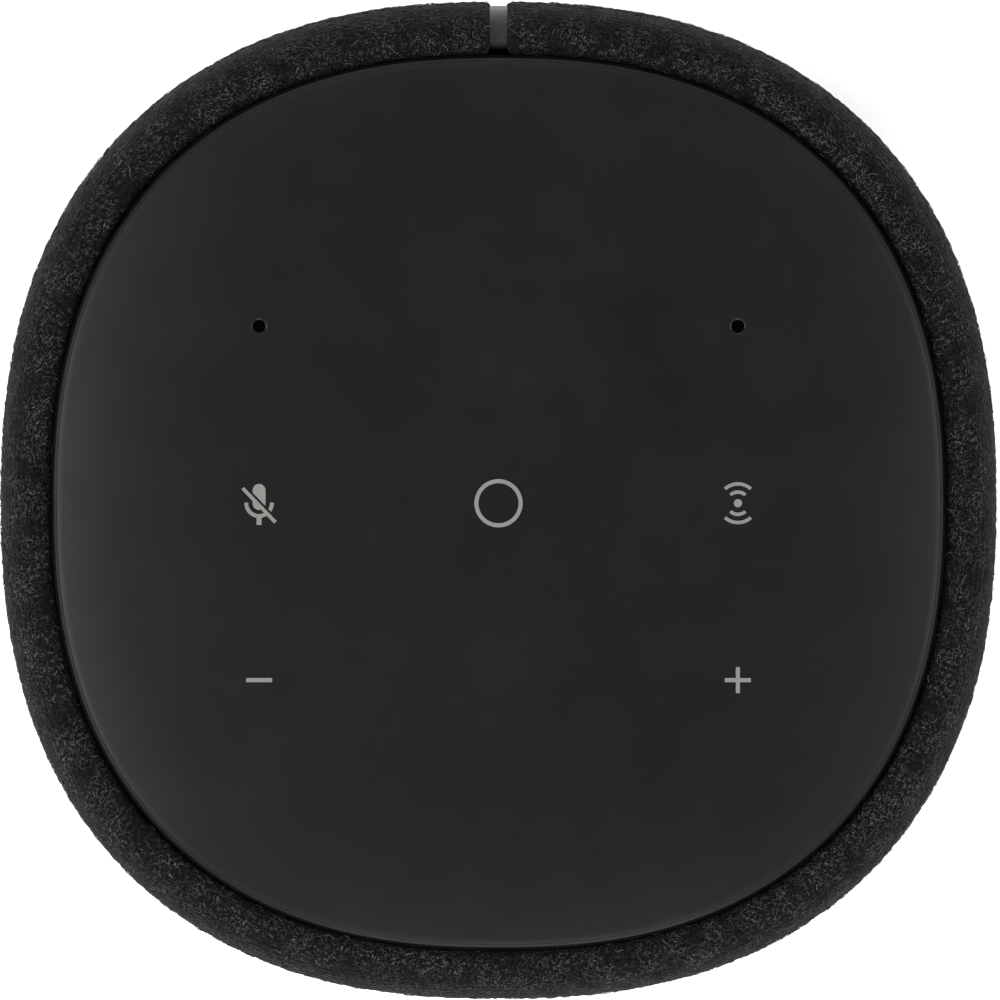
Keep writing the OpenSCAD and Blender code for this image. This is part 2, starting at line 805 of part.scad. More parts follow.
// The cabinet's block between two depths, set in from its outer faces by inset
module cabinet_block(inset, y0, y1) {
    intersection() {
        slab(cabinet_half - inset, cabinet_z0 + inset, cabinet_z1 - inset);
        box([-80, y0, 0], [80, y1, body_h]);
    }
}

// Drawings in the baffle's plane: local x is across, local y is up and local z points out of the front
module on_baffle(z) translate([0, baffle_y, z]) rotate([90, 0, 0]) children();

woofer_screw_r = woofer_d / 2 - 2.5;
tweeter_screw_r = 15.1;

module screw_bosses(y0, y1) {
    for (at = cabinet_screw_at)
        translate([at[0], y1, at[1]]) rotate([90, 0, 0]) cylinder(d = 10, h = y1 - y0);
}

module foot_bosses(side) {
    for (at = base_screw_at)
        if (at[1] * side > 0)
            translate([at[0], at[1], cabinet_z0 + 1]) cylinder(d = 8, h = 11);
    for (at = carrier_screw_at)
        if (at[1] * side > 0)
            translate([at[0], at[1], cabinet_z1 - 10]) cylinder(d = 7, h = 9);
}

module board_posts(side) {
    for (at = board_screw_at)
        if (at[1] * side > 0)
            translate([at[0], at[1], cabinet_z1 - 1]) cylinder(d = 6, h = main_z - cabinet_z1 + 1);
}

module cabinet_holes() {
    for (at = base_screw_at)
        translate([at[0], at[1], cabinet_z0 - 1]) cylinder(d = 3.1, h = 10);
    for (at = carrier_screw_at)
        translate([at[0], at[1], cabinet_z1 - 8.5]) cylinder(d = 3.1, h = 10);
    for (at = board_screw_at)
        translate([at[0], at[1], main_z - 6]) cylinder(d = 2.6, h = 8);
}

module cabinet_front() {
    seam_y = split_y - gasket_t / 2;
    color([0.16, 0.16, 0.17])
        difference() {
            union() {
                difference() {
                    cabinet_block(0, baffle_y, seam_y);
                    cabinet_block(wall_t, baffle_y + baffle_t, seam_y + 1);
                }
                screw_bosses(-6, seam_y);
                foot_bosses(-1);
                board_posts(-1);
            }
            for (at = cabinet_screw_at)
                translate([at[0], seam_y + 1, at[1]]) rotate([90, 0, 0]) cylinder(d = 3.1, h = 14);
            cabinet_holes();
            on_baffle(woofer_z) {
                translate([0, 0, -10]) cylinder(r = woofer_d / 2 - 5.9, h = 20);
                for (a = [45:90:315])
                    rotate(a) translate([woofer_screw_r, 0, -8]) cylinder(d = 3.1, h = 12);
            }
            on_baffle(tweeter_z) {
                translate([0, 0, -10]) cylinder(r = 13.1, h = 20);
                for (a = [90, 210, 330])
                    rotate(a) translate([tweeter_screw_r, 0, -8]) cylinder(d = 1.9, h = 12);
            }
            translate([0, lead_y, cabinet_z1 - 5]) cylinder(d = 9.4, h = 8);
        }
}

module cabinet_rear() {
    seam_y = split_y + gasket_t / 2;
    color([0.16, 0.16, 0.17])
        difference() {
            union() {
                difference() {
                    cabinet_block(0, seam_y, rear_y);
                    cabinet_block(wall_t, seam_y - 1, rear_y - wall_t);
                }
                intersection() {
                    screw_bosses(seam_y, rear_y);
                    cabinet_block(1, seam_y - 1, rear_y);
                }
                foot_bosses(1);
                board_posts(1);
            }
            for (at = cabinet_screw_at)
                translate([at[0], 0, at[1]]) rotate([-90, 0, 0]) {
                    cylinder(d = 3.4, h = 40);
                    translate([0, 0, cabinet_seat_y]) cylinder(d = 6.8, h = 40);
                }
            cabinet_holes();
            translate([port_at[0], 0, port_at[1]]) rotate([-90, 0, 0]) cylinder(d = port_d + 3.1, h = 90);
        }
}

module cabinet_gasket() {
    y0 = split_y - gasket_t / 2;
    y1 = split_y + gasket_t / 2;
    color(rubber_colour)
        difference() {
            cabinet_block(0.3, y0, y1);
            cabinet_block(wall_t - 0.3, y0 - 1, y1 + 1);
        }
}

module cabinet_screws() {
    color(steel_colour)
        for (at = cabinet_screw_at)
            translate([at[0], cabinet_seat_y, at[1]]) rotate([-90, 0, 0]) screw(3, 27, 6, 2.4);
}

module bass_port() {
    r = port_d / 2;
    t = 1.5;
    flare = 4.5;
    long = rear_y - port_y0;
    mouth = arc_line([r + flare, long + 1.8 - flare], flare, 180, 90, 6);
    color([0.12, 0.12, 0.13])
        translate([port_at[0], port_y0, port_at[1]])
            rotate([-90, 0, 0])
                rotate_extrude()
                    polygon(concat(
                        [[r, 0], [r + t, 0], [r + t, long],
                         [r + flare + 1.5, long], [r + flare + 1.5, long + 1.8]],
                        [for (i = [6:-1:0]) mouth[i]]));
}

module damping_pad() {
    color([0.82, 0.82, 0.80])
        translate([0, rear_y - wall_t - 3.05, 84]) across_y(6) rounded(66, 84, 8);
}

lead_y = -22;

module speaker_leads() {
    top = main_z + 1.6;
    color([0.30, 0.05, 0.05]) {
        across_x(5)
            strip([[-25.9, top + 1.6], [lead_y, top + 1.6],
                   [lead_y, woofer_z + 39.5], [-26, woofer_z + 36.5],
                   [-33.5, woofer_z + 36.5]], 1.4);
        box([-2.5, lead_y - 0.7, tweeter_z + 8], [9.5, lead_y + 0.7, tweeter_z + 10]);
        translate([8, 0, 0])
            across_x(3)
                strip([[lead_y, tweeter_z + 10], [lead_y, tweeter_z + 5], [-25, tweeter_z + 2],
                       [-33.9, tweeter_z + 2]], 1.4);
    }
    color(rubber_colour)
        translate([0, lead_y, cabinet_z1 - 3])
            difference() {
                union() {
                    cylinder(d = 9.3, h = 4);
                    translate([0, 0, 3.05]) cylinder(d = 12, h = 1.4);
                }
                translate([-2.55, -0.75, -1]) cube([5.1, 1.5, 9]);
            }
}

// ---- Woofer ----

flange_z = 3.3;
cone_edge_r = 32;
coil_r = 13;

module woofer_basket() {
    r = woofer_d / 2;
    color([0.10, 0.10, 0.105])
        on_baffle(woofer_z)
            difference() {
                rotate_extrude()
                    polygon([[37, flange_z], [r, flange_z], [r, 0.8], [38.4, 0.8],
                             [38.4, -2.5], [28, -20.5], [28, -24], [15, -24],
                             [15, -22.6], [26.4, -22.6], [26.4, -19.5], [28.4, -17], [26, -17], [26, -16],
                             [29.2, -16], [37, -2.2]]);
                for (a = [30:60:330])
                    rotate(a) translate([28.6, -9, -14.5]) cube([12, 18, 10]);
                for (a = [45:90:315])
                    rotate(a) translate([woofer_screw_r, 0, -1]) cylinder(d = 3.4, h = 6);
            }
    color(brass_colour)
        on_baffle(woofer_z)
            difference() {
                translate([-6, 28, -15]) cube([12, 7.6, 4]);
                translate([0, 0, -20.5]) cylinder(r1 = 28 + slip, r2 = 38.4 + slip, h = 18);
            }
}

module woofer_gasket() {
    color(rubber_colour)
        on_baffle(woofer_z)
            difference() {
                linear_extrude(0.8) ring(woofer_d / 2 - 0.2, 38.8);
                for (a = [45:90:315])
                    rotate(a) translate([woofer_screw_r, 0, -1]) cylinder(d = 3.4, h = 6);
            }
}

module woofer_screws() {
    color(steel_colour)
        on_baffle(woofer_z)
            for (a = [45:90:315])
                rotate(a) translate([woofer_screw_r, 0, flange_z]) screw(3, 11, 4.4, 2);
    color(steel_colour)
        on_baffle(tweeter_z)
            for (a = [90, 210, 330])
                rotate(a) translate([tweeter_screw_r, 0, 2.2]) screw(1.8, 9, 3.2, 1.2);
}

module woofer_top_plate() {
    color(steel_colour)
        on_baffle(woofer_z) translate([0, 0, -28]) linear_extrude(4) ring(27.5, coil_r + 0.9);
}

module woofer_magnet() {
    color([0.13, 0.13, 0.14])
        on_baffle(woofer_z) translate([0, 0, -40]) linear_extrude(12) ring(30, 16.5);
}

module woofer_yoke() {
    color(steel_colour)
        on_baffle(woofer_z)
            difference() {
                union() {
                    translate([0, 0, -44]) cylinder(r = 27.5, h = 4);
                    translate([0, 0, -41]) cylinder(r = coil_r - 0.8, h = 16.5);
                }
                translate([0, 0, -50]) cylinder(r = 4, h = 30);
            }
}

module woofer_spider() {
    waves = 5;
    r0 = coil_r + slip;
    r1 = 26;
    top = [for (i = [0:40]) let (r = r0 + (r1 - r0) * i / 40)
        [r, -14.95 + 0.55 * sin(360 * waves * i / 40)]];
    bottom = [for (i = [40:-1:0]) [top[i][0], top[i][1] - 0.5]];
    color([0.72, 0.50, 0.22])
        on_baffle(woofer_z)
            rotate_extrude() polygon(concat(top, [[29, -14.95], [29, -15.9], [26, -15.9]], bottom));
}

module woofer_surround() {
    roll_r = (37.6 - cone_edge_r) / 2;
    mid = [cone_edge_r + roll_r, flange_z];
    color(rubber_colour)
        on_baffle(woofer_z)
            rotate_extrude()
                polygon(concat(
                    [[30.6, flange_z - 0.55], [cone_edge_r, flange_z - 0.55], [cone_edge_r + 0.6, flange_z]],
                    arc_line(mid, roll_r - 0.6, 180, 0, 12),
                    [[39.5, flange_z + 0.05], [39.5, flange_z + 0.65]],
                    arc_line(mid, roll_r, 12, 168, 12),
                    [[30.6, flange_z + 0.05]]));
}

module woofer_cone() {
    edge_z = flange_z - 0.6;
    color([0.09, 0.09, 0.10])
        on_baffle(woofer_z) {
            rotate_extrude()
                polygon([[cone_edge_r - 1.4, edge_z], [cone_edge_r, edge_z], [cone_edge_r, edge_z - 0.6],
                         [cone_edge_r - 1.2, edge_z - 0.6], [coil_r + 0.1, -11.4], [coil_r + 0.1, -10.4]]);
            rotate_extrude() polygon(dome_section(14.2, 5, 0.5, -9.3));
        }
}

module woofer_coil() {
    color([0.80, 0.72, 0.55])
        on_baffle(woofer_z) translate([0, 0, -35.5]) linear_extrude(25.6) ring(coil_r, coil_r - 0.4);
    color([0.70, 0.36, 0.16])
        on_baffle(woofer_z) translate([0, 0, -35]) linear_extrude(8.5) ring(coil_r + 0.45, coil_r);
}

// ---- Tweeter ----

module tweeter_motor() {
    color(steel_colour)
        on_baffle(tweeter_z)
            rotate_extrude()
                polygon([[0, -12], [13, -12], [13, 0], [10.9, 0],
                         [10.9, -9.5], [9.2, -9.5], [9.2, -1], [0, -1]]);
}

module tweeter_faceplate() {
    color([0.10, 0.10, 0.105])
        on_baffle(tweeter_z)
            difference() {
                rotate_extrude()
                    polygon([[11.2, 0.45], [13.2, 0.45], [13.2, 0], [17, 0], [17, 1.9],
                             [16.7, 2.2], [15.6, 2.2],
                             [11.2, 0.95]]);
                for (a = [90, 210, 330])
                    rotate(a) {
                        translate([tweeter_screw_r, 0, -1]) cylinder(d = 2.1, h = 4);
                        translate([tweeter_screw_r, 0, 2.2 - slip]) cylinder(d = 3.4, h = 4);
                        translate([tweeter_screw_r, 0, 0.9]) cylinder(d = 2.1, h = 4);
                    }
            }
}

module tweeter_dome() {
    color([0.16, 0.16, 0.17])
        on_baffle(tweeter_z) {
            rotate_extrude() polygon(dome_section(10.1, 3.1, 0.35, 0.4));
            translate([0, 0, 0.42]) linear_extrude(0.2) ring(11.05, 10);
        }
    color([0.70, 0.36, 0.16])
        on_baffle(tweeter_z) translate([0, 0, -6]) linear_extrude(6.1) ring(10.1, 9.7);
}

top_panel();
icon("icon_mic_mute");  // icon_mic_mute
icon("icon_action_ring");  // icon_action_ring
icon("icon_wireless");  // icon_wireless
icon("icon_volume_down");  // icon_volume_down
icon("icon_volume_up");  // icon_volume_up
mic_mesh(mic_at[0]);  // mic_mesh_left
mic_mesh(mic_at[1]);  // mic_mesh_right
mic_boot(mic_at[0]);  // mic_boot_left
mic_boot(mic_at[1]);  // mic_boot_right
microphones();
light_guide();
touch_film();
touch_board();
touch_leds();
touch_board_screws();
ribbon_cable();
top_carrier();
carrier_screws();
fabric_sleeve();
grille_frame();
rear_spine();
base_cover();
foot_ring();
base_screws();
port_plate();
inlet_socket();
inlet_pins();
service_socket();
mains_leads();
supply_board();
supply_parts();
supply_transformer();
supply_harness();
main_board();
main_board_parts();
shield_can();
heat_spreader();
board_screws();
antennas();
cabinet_front();
cabinet_rear();
cabinet_gasket();
cabinet_screws();
bass_port();
damping_pad();
speaker_leads();
woofer_basket();
woofer_gasket();
woofer_screws();
woofer_top_plate();
woofer_magnet();
woofer_yoke();
woofer_spider();
woofer_surround();
woofer_cone();
woofer_coil();
tweeter_motor();
tweeter_faceplate();
tweeter_dome();
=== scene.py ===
# %% [markdown]
# # A smart home hub, piece by piece
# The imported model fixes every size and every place. This lesson adds the looks: smooth surfaces,
# woven wool, printed legends and a studio. Loading the model comes first, because each later step
# asks it where a piece goes.

import json
import math

import bmesh
import bpy
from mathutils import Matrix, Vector, noise


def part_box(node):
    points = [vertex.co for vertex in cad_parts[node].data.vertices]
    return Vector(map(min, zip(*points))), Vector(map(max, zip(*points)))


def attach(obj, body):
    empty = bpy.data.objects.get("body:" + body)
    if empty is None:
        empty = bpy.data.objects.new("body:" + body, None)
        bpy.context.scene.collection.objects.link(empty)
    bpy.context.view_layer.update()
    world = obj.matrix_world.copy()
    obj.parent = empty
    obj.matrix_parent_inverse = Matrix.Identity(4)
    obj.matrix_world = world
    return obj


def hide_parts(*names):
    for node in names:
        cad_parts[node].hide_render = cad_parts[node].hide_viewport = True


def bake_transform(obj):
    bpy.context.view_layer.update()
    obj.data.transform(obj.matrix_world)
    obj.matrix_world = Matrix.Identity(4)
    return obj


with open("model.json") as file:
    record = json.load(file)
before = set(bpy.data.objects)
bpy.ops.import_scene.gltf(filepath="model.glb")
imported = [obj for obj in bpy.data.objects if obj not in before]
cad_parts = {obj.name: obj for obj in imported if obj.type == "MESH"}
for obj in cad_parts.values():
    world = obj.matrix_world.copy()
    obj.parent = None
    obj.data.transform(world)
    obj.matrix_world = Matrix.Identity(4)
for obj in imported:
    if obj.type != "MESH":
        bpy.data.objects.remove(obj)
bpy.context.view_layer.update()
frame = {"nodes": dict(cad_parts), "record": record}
nodes = frame["nodes"]
scene = bpy.context.scene

# %% [markdown]
# ## Units and the plan outline
# Blender works in metres and the maker's sizes are in millimetres, so one factor turns the second
# into the first. The hub's plan is a superellipse, which is rounder than a rounded square: its sides
# bow all the way round. One function gives how far the outline reaches at each angle, and every ring
# on the hub uses it.

# %% Plan outline
MM = 0.001
PLAN_POWER = 2.37
BODY_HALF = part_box("fabric_sleeve")[1][0] / MM
print("half width of the body, mm:", round(BODY_HALF, 3))


def reach(angle):
    """How far the plan outline of half width 1 reaches at an angle."""
    total = abs(math.cos(angle)) ** PLAN_POWER + abs(math.sin(angle)) ** PLAN_POWER
    return total ** (-1 / PLAN_POWER)


def plan_point(half, angle, z):
    """A point on the outline of the given half width, from millimetres to metres."""
    far = half * reach(angle) * MM
    return (far * math.cos(angle), far * math.sin(angle), z * MM)


# %% [markdown]
# ## The camera
# It looks straight down on the touch panel from about one and a half metres, with a long lens, so
# the sides of the hub fall away just out of sight. It stands a little to the rear of the middle,
# which shows a trace more of the rear shoulder than of the front one.

# %% Camera
CAMERA_PLACE = Vector((0, 0.017, 1.688))
LOOK_AT = Vector((0, 0, 0.155))
camera_data = bpy.data.cameras.new("camera")
camera_data.lens = 401.6
camera_data.sensor_width = 36
camera_data.shift_x = 0.0015
camera_data.shift_y = 0.0005
camera_data.clip_start = 0.05
camera = bpy.data.objects.new("camera", camera_data)
camera.location = CAMERA_PLACE
view_line = LOOK_AT - CAMERA_PLACE
camera.rotation_euler = (math.atan2(view_line.y, -view_line.z), 0, 0)
scene.collection.objects.link(camera)
scene.camera = camera
scene.view_settings.view_transform = "Standard"
print("camera distance, m:", round(view_line.length, 3))

# %% [markdown]
# ## The studio
# A white table in a white room, with a large soft light at each side. The left one is the stronger,
# and it makes the bright crescent on the panel's left rim. A low light in front lifts the front rim,
# and a weak one behind keeps the table white there. The room gets darker overhead, so the panel's
# middle stays near black.

# %% Lights and room
LIGHTS = {
    "left": ((-1.15, -0.15, 0.95), 1.1, 30.0),
    "right": ((1.2, -0.05, 0.9), 0.9, 17.0),
    "front": ((0.1, -1.4, 0.8), 1.0, 24.0),
    "rear": ((-0.2, 1.5, 1.0), 1.2, 9.0),
}
for name, (place, size, power) in LIGHTS.items():
    light = bpy.data.lights.new(name, "AREA")
    light.size = size
    light.energy = power
    lamp = bpy.data.objects.new("light_" + name, light)
    lamp.location = place
    lamp.rotation_euler = (LOOK_AT - Vector(place)).to_track_quat("-Z", "Y").to_euler()
    scene.collection.objects.link(lamp)
print("lights:", ", ".join(LIGHTS))

# %% [markdown]
# ## Helpers for node trees
# Every material and group below is a tree of nodes. A recipe holds the tree and adds nodes to it: one
# method sets a node's options and links or fills its inputs, and short ones cover the sums, mixes
# and noises that come up all the time. A tree then reads from top to bottom like a recipe.


# %% Node helpers
class Recipe:
    """A tree of nodes being written. Each method adds one node and gives the socket that matters."""

    def __init__(self, tree):
        self.tree = tree

    def feed(self, socket, value):
        """A socket linked to another one, or filled with a value."""
        if isinstance(value, bpy.types.NodeSocket):
            self.tree.links.new(value, socket)
        else:
            socket.default_value = value

    def add(self, kind, inputs=None, **options):
        """A new node, with its options set and its inputs fed."""
        made = self.tree.nodes.new(kind)
        for name, value in options.items():
            setattr(made, name, value)
        for name, value in (inputs or {}).items():
            self.feed(made.inputs[name], value)
        return made

    def group(self, recipe, inputs):
        """The outputs of a shared group placed in this tree, with this tree's own values."""
        return self.add("ShaderNodeGroup", inputs, node_tree=recipe.tree).outputs

    def sums(self, operation, first, second=0.0, clamp=False):
        """One sum of two values."""
        values = {0: first, 1: second}
        return self.add("ShaderNodeMath", values, operation=operation, use_clamp=clamp).outputs[0]

    def times(self, first, second):
        """Two values multiplied."""
        return self.sums("MULTIPLY", first, second)

    def plus(self, first, second, clamp=False):
        """Two values added."""
        return self.sums("ADD", first, second, clamp)

    def vectors(self, operation, first, second=(0, 0, 0), scale=None):
        """One sum of two vectors, or of a vector and a scale."""
        values = {0: first, 1: second} if scale is None else {0: first, "Scale": scale}
        return self.add("ShaderNodeVectorMath", values, operation=operation).outputs[0]

    def remap(self, value, low, high, to_low=0.0, to_high=1.0):
        """A value stretched from one range to another, and kept inside it."""
        return self.add("ShaderNodeMapRange", {0: value, 1: low, 2: high, 3: to_low, 4: to_high}).outputs[0]

    def mix(self, factor, first, second):
        """A mix of two colours."""
        return self.add("ShaderNodeMix", {0: factor, 6: first, 7: second}, data_type="RGBA").outputs[2]

    def speckle(self, vector, scale, detail=2.0, rough=0.5):
        """Plain noise, as a value."""
        return self.add("ShaderNodeTexNoise", {"Vector": vector, "Scale": scale, "Detail": detail,
                                               "Roughness": rough}).outputs[0]


# %% Room
ROOM_STRENGTH = 0.9
HORIZON_LIGHT, OVERHEAD_LIGHT = 1.12, 0.42
world = bpy.data.worlds.new("studio")
world.use_nodes = True
scene.world = world
sky = Recipe(world.node_tree)
outwards = sky.add("ShaderNodeTexCoord").outputs["Generated"]
up = sky.add("ShaderNodeSeparateXYZ", {0: outwards}).outputs[2]
room_light = sky.remap(up, 0.1, 0.95, HORIZON_LIGHT, OVERHEAD_LIGHT)
backdrop = world.node_tree.nodes["Background"].inputs
sky.feed(backdrop["Color"], sky.add("ShaderNodeCombineColor", dict.fromkeys(range(3), room_light)).outputs[0])
backdrop["Strength"].default_value = ROOM_STRENGTH
print("room is lightest at the horizon")

# %% [markdown]
# ## Shared effects
# Real surfaces are never quite even. Five effects turn up on many pieces: the fine grain of a
# moulding tool, the wear that lightens edges, settled dust, the lines of brushing or drawing in
# metal, and the over and under of a plain weave. Each is in a group with named inputs, built once.
# A group puts out only masks and heights, so a material decides what to do with them.


# %% Tree helpers
def new_tree(name, kind, inputs, outputs):
    """An empty tree with its named sockets: its recipe, its inputs to read and its outputs to feed."""
    tree = bpy.data.node_groups.new(name, kind)
    for in_out, sockets in (("INPUT", inputs), ("OUTPUT", outputs)):
        for title, holds, value in sockets:
            socket = tree.interface.new_socket(title, in_out=in_out, socket_type="NodeSocket" + holds)
            if value is not None:
                socket.default_value = value
    return Recipe(tree), tree.nodes.new("NodeGroupInput").outputs, tree.nodes.new("NodeGroupOutput").inputs


def new_group(name, inputs, outputs):
    """A shader group that reads a vector and the numbers given, and puts out masks and heights."""
    print("group:", name)
    return new_tree(name, "ShaderNodeTree", [("Vector", "Vector", None)] + inputs,
                    [(title, "Float", None) for title in outputs])


# %% Moulded grain
grain_group, given, result = new_group(
    "moulded_grain", [("Size", "Float", 0.0004), ("Variation", "Float", 0.5)], ["Height", "Tone"])
per_metre = grain_group.sums("DIVIDE", 1.0, given["Size"])
fine = grain_group.speckle(given["Vector"], per_metre, 3.0, 0.6)
broad = grain_group.speckle(given["Vector"], grain_group.times(per_metre, 0.03), 3.0)
swing = grain_group.times(grain_group.sums("SUBTRACT", broad, 0.5), given["Variation"])
grain_group.feed(result["Height"], fine)
grain_group.feed(result["Tone"], grain_group.plus(swing, grain_group.times(fine, 0.4)))

# %% Edge wear and dust
MOTES_PER_METRE = 4200.0
wear_group, given, result = new_group(
    "edge_wear_and_dust", [("Patch", "Float", 0.012), ("Amount", "Float", 0.3)], ["Wear", "Dust"])
edge = wear_group.remap(wear_group.add("ShaderNodeNewGeometry").outputs["Pointiness"], 0.52, 0.62)
patch_scale = wear_group.sums("DIVIDE", 1.0, given["Patch"])
patches = wear_group.remap(wear_group.speckle(given["Vector"], patch_scale, 5.0, 0.65), 0.45, 0.7)
motes = wear_group.remap(wear_group.speckle(given["Vector"], MOTES_PER_METRE), 0.66, 0.8)
dusty = wear_group.plus(wear_group.times(patches, 0.12), wear_group.times(motes, 0.5))
wear_group.feed(result["Wear"], wear_group.times(edge, wear_group.times(patches, given["Amount"])))
wear_group.feed(result["Dust"], wear_group.times(dusty, given["Amount"]))

# %% Drawn metal
STAINS_PER_METRE = 130.0
drawn_group, given, result = new_group(
    "drawn_lines", [("Pitch", "Float", 0.0002), ("Stretch", "Vector", (0.03, 1.0, 1.0))], ["Height", "Stain"])
drawn = drawn_group.vectors("MULTIPLY", given["Vector"], given["Stretch"])
per_metre = drawn_group.sums("DIVIDE", 1.0, given["Pitch"])
stains = drawn_group.speckle(given["Vector"], STAINS_PER_METRE, 5.0, 0.65)
drawn_group.feed(result["Height"], drawn_group.speckle(drawn, per_metre))
drawn_group.feed(result["Stain"], drawn_group.remap(stains, 0.4, 0.75))

# %% [markdown]
# ### The weave
# In a plain weave each thread goes over one and under the next, so the cells make a checkerboard:
# the thread along the cloth shows in one, the thread across it in the next. A cell is a rounded
# bump that is longer along its own thread. The product of two sines changes sign from cell to cell,
# which tells the two apart. Each cell also gets a number of its own, to vary the yarn's colour.

# %% Weave group
WOBBLES_PER_METRE = 900.0
weave_group, given, result = new_group(
    "plain_weave", [("Pitch", "Float", 0.0011), ("Wander", "Float", 0.25)], ["Height", "Cell", "Gap Shade"])
wobble = weave_group.add("ShaderNodeTexNoise", {
    "Vector": given["Vector"], "Scale": WOBBLES_PER_METRE}).outputs[1]
centred = weave_group.vectors("SUBTRACT", wobble, (0.5, 0.5, 0.5))
shift = weave_group.vectors("SCALE", centred, scale=weave_group.times(given["Pitch"], given["Wander"]))
wandered = weave_group.vectors("ADD", given["Vector"], shift)
counted = weave_group.vectors("SCALE", wandered, scale=weave_group.sums("DIVIDE", 1.0, given["Pitch"]))
split = weave_group.add("ShaderNodeSeparateXYZ", {0: counted}).outputs
waves = [weave_group.sums("SINE", weave_group.times(split[k], math.pi)) for k in (0, 1)]
thread = weave_group.sums("GREATER_THAN", weave_group.times(*waves), 0.0)
heights = [weave_group.sums("ABSOLUTE", wave) for wave in waves]
along, across = [weave_group.times(heights[k], weave_group.sums("POWER", heights[1 - k], 0.35))
                 for k in (0, 1)]
height = weave_group.add("ShaderNodeMix", {0: thread, 2: across, 3: along}).outputs[0]
cell = weave_group.add("ShaderNodeTexWhiteNoise", {
    "Vector": weave_group.vectors("FLOOR", counted)}).outputs[0]
weave_group.feed(result["Height"], height)
weave_group.feed(result["Cell"], cell)
# The gap mask is where the cloth finishes paint shade between the threads.
weave_group.feed(result["Gap Shade"], weave_group.remap(height, 0.0, 0.35, 1.0, 0.0))

# %% [markdown]
# ## Finishes by family
# The hub has some thirty finishes, but only a few kinds of matter: moulded plastic and rubber,
# metal, cloth, foam, ferrite and printed boards. A function makes each kind, and a table gives each
# finish its own colour, roughness and grain. Values that are even all over go on the shader itself,
# and only what changes over the surface comes from the groups.


# %% Material helpers
def new_material(name, rough, metallic=0.0, spec=0.5):
    """A material, its recipe, its shader's inputs with the even values set, and its own coordinates."""
    made = bpy.data.materials.new(name)
    made.use_nodes = True
    tree = Recipe(made.node_tree)
    shader = made.node_tree.nodes["Principled BSDF"].inputs
    shader["Roughness"].default_value = rough
    shader["Metallic"].default_value = metallic
    shader["Specular IOR Level"].default_value = spec
    return made, tree, shader, tree.add("ShaderNodeTexCoord").outputs["Object"]


def shade(colour, factor=1.0):
    """A lighter or darker copy of a colour, as four numbers."""
    return tuple(min(1.0, part * factor) for part in colour) + (1.0,)


def grey(level):
    """A neutral colour."""
    return (level, level, level)


def bump(tree, shader, height, depth, strength=1.0):
    """A height in the range 0 to 1 turned into the shader's normal, with its depth in metres."""
    made = tree.add("ShaderNodeBump", {"Height": height, "Distance": depth, "Strength": strength})
    tree.feed(shader["Normal"], made.outputs[0])


# %% Families of finishes
DUST = shade((0.35, 0.34, 0.32))


def moulded(name, colour, rough, size=0.0004, depth=0.00002, wear=0.25, spec=0.5):
    """Moulded plastic or rubber: grain, slow changes of tone, pale edges and dust."""
    made, tree, shader, place = new_material(name, rough, spec=spec)
    grain = tree.group(grain_group, {"Vector": place, "Size": size, "Variation": 0.6})
    old = tree.group(wear_group, {"Vector": place, "Patch": 0.012, "Amount": wear})
    base = tree.mix(tree.remap(grain["Tone"], -0.1, 0.5), shade(colour, 0.82), shade(colour, 1.2))
    rubbed = tree.mix(old["Wear"], base, shade(colour, 2.2))
    tree.feed(shader["Base Color"], tree.mix(tree.times(old["Dust"], 0.35), rubbed, DUST))
    uneven = tree.remap(grain["Tone"], -0.1, 0.5, rough - 0.05, min(1.0, rough + 0.07))
    tree.feed(shader["Roughness"], tree.plus(uneven, tree.times(old["Dust"], 0.2), clamp=True))
    bump(tree, shader, grain["Height"], depth)
    return made


def metal(name, colour, rough, pitch=0.0002, stretch=(0.04, 1.0, 1.0)):
    """Drawn, turned or plated metal: fine lines, and stains that dull it."""
    made, tree, shader, place = new_material(name, rough, metallic=1.0)
    lines = tree.group(drawn_group, {"Vector": place, "Pitch": pitch, "Stretch": stretch})
    dulled = tree.times(lines["Stain"], 0.3)
    base = tree.mix(lines["Height"], shade(colour, 0.88), shade(colour, 1.08))
    tree.feed(shader["Base Color"], tree.mix(dulled, base, shade(colour, 0.55)))
    tree.feed(shader["Roughness"], tree.plus(tree.times(dulled, 0.5), rough, clamp=True))
    bump(tree, shader, lines["Height"], 0.000004)
    return made


def foam(name, colour, rough, cell_size=0.0006, depth=0.00015):
    """Foam or wadding: open cells, with painted shade where they go deep."""
    made, tree, shader, place = new_material(name, rough, spec=0.25)
    cells = tree.add("ShaderNodeTexVoronoi", {"Vector": place, "Scale": 1 / cell_size})
    cell_height_and_shade = tree.remap(cells.outputs["Distance"], 0.1, 0.7)
    clumps = tree.times(tree.speckle(place, 160.0, 4.0, 0.6), 0.4)
    # Painted shade: the colour darkens towards the bottom of each cell, where shade falls; the same mask
    # makes the bump.
    base = tree.mix(cell_height_and_shade, shade(colour, 0.45), shade(colour, 1.1))
    tree.feed(shader["Base Color"], tree.mix(clumps, base, shade(colour, 0.7)))
    bump(tree, shader, cell_height_and_shade, depth)
    return made


def woven(name, colour, second, rough, pitch, depth, tip=0.0):
    """A thin technical cloth: a plain weave of two yarn tones, laid flat or tipped up to face forward."""
    made, tree, shader, place = new_material(name, rough, spec=0.3)
    laid = tree.add("ShaderNodeMapping", {"Vector": place, "Rotation": (tip, 0, 0)}).outputs[0]
    cloth = tree.group(weave_group, {"Vector": laid, "Pitch": pitch, "Wander": 0.12})
    yarn = tree.mix(cloth["Cell"], shade(colour), shade(second))
    # Painted shade: the gaps between the threads are darkened.
    tree.feed(shader["Base Color"], tree.mix(cloth["Gap Shade"], yarn, shade(colour, 0.35)))
    bump(tree, shader, cloth["Height"], depth)
    return made


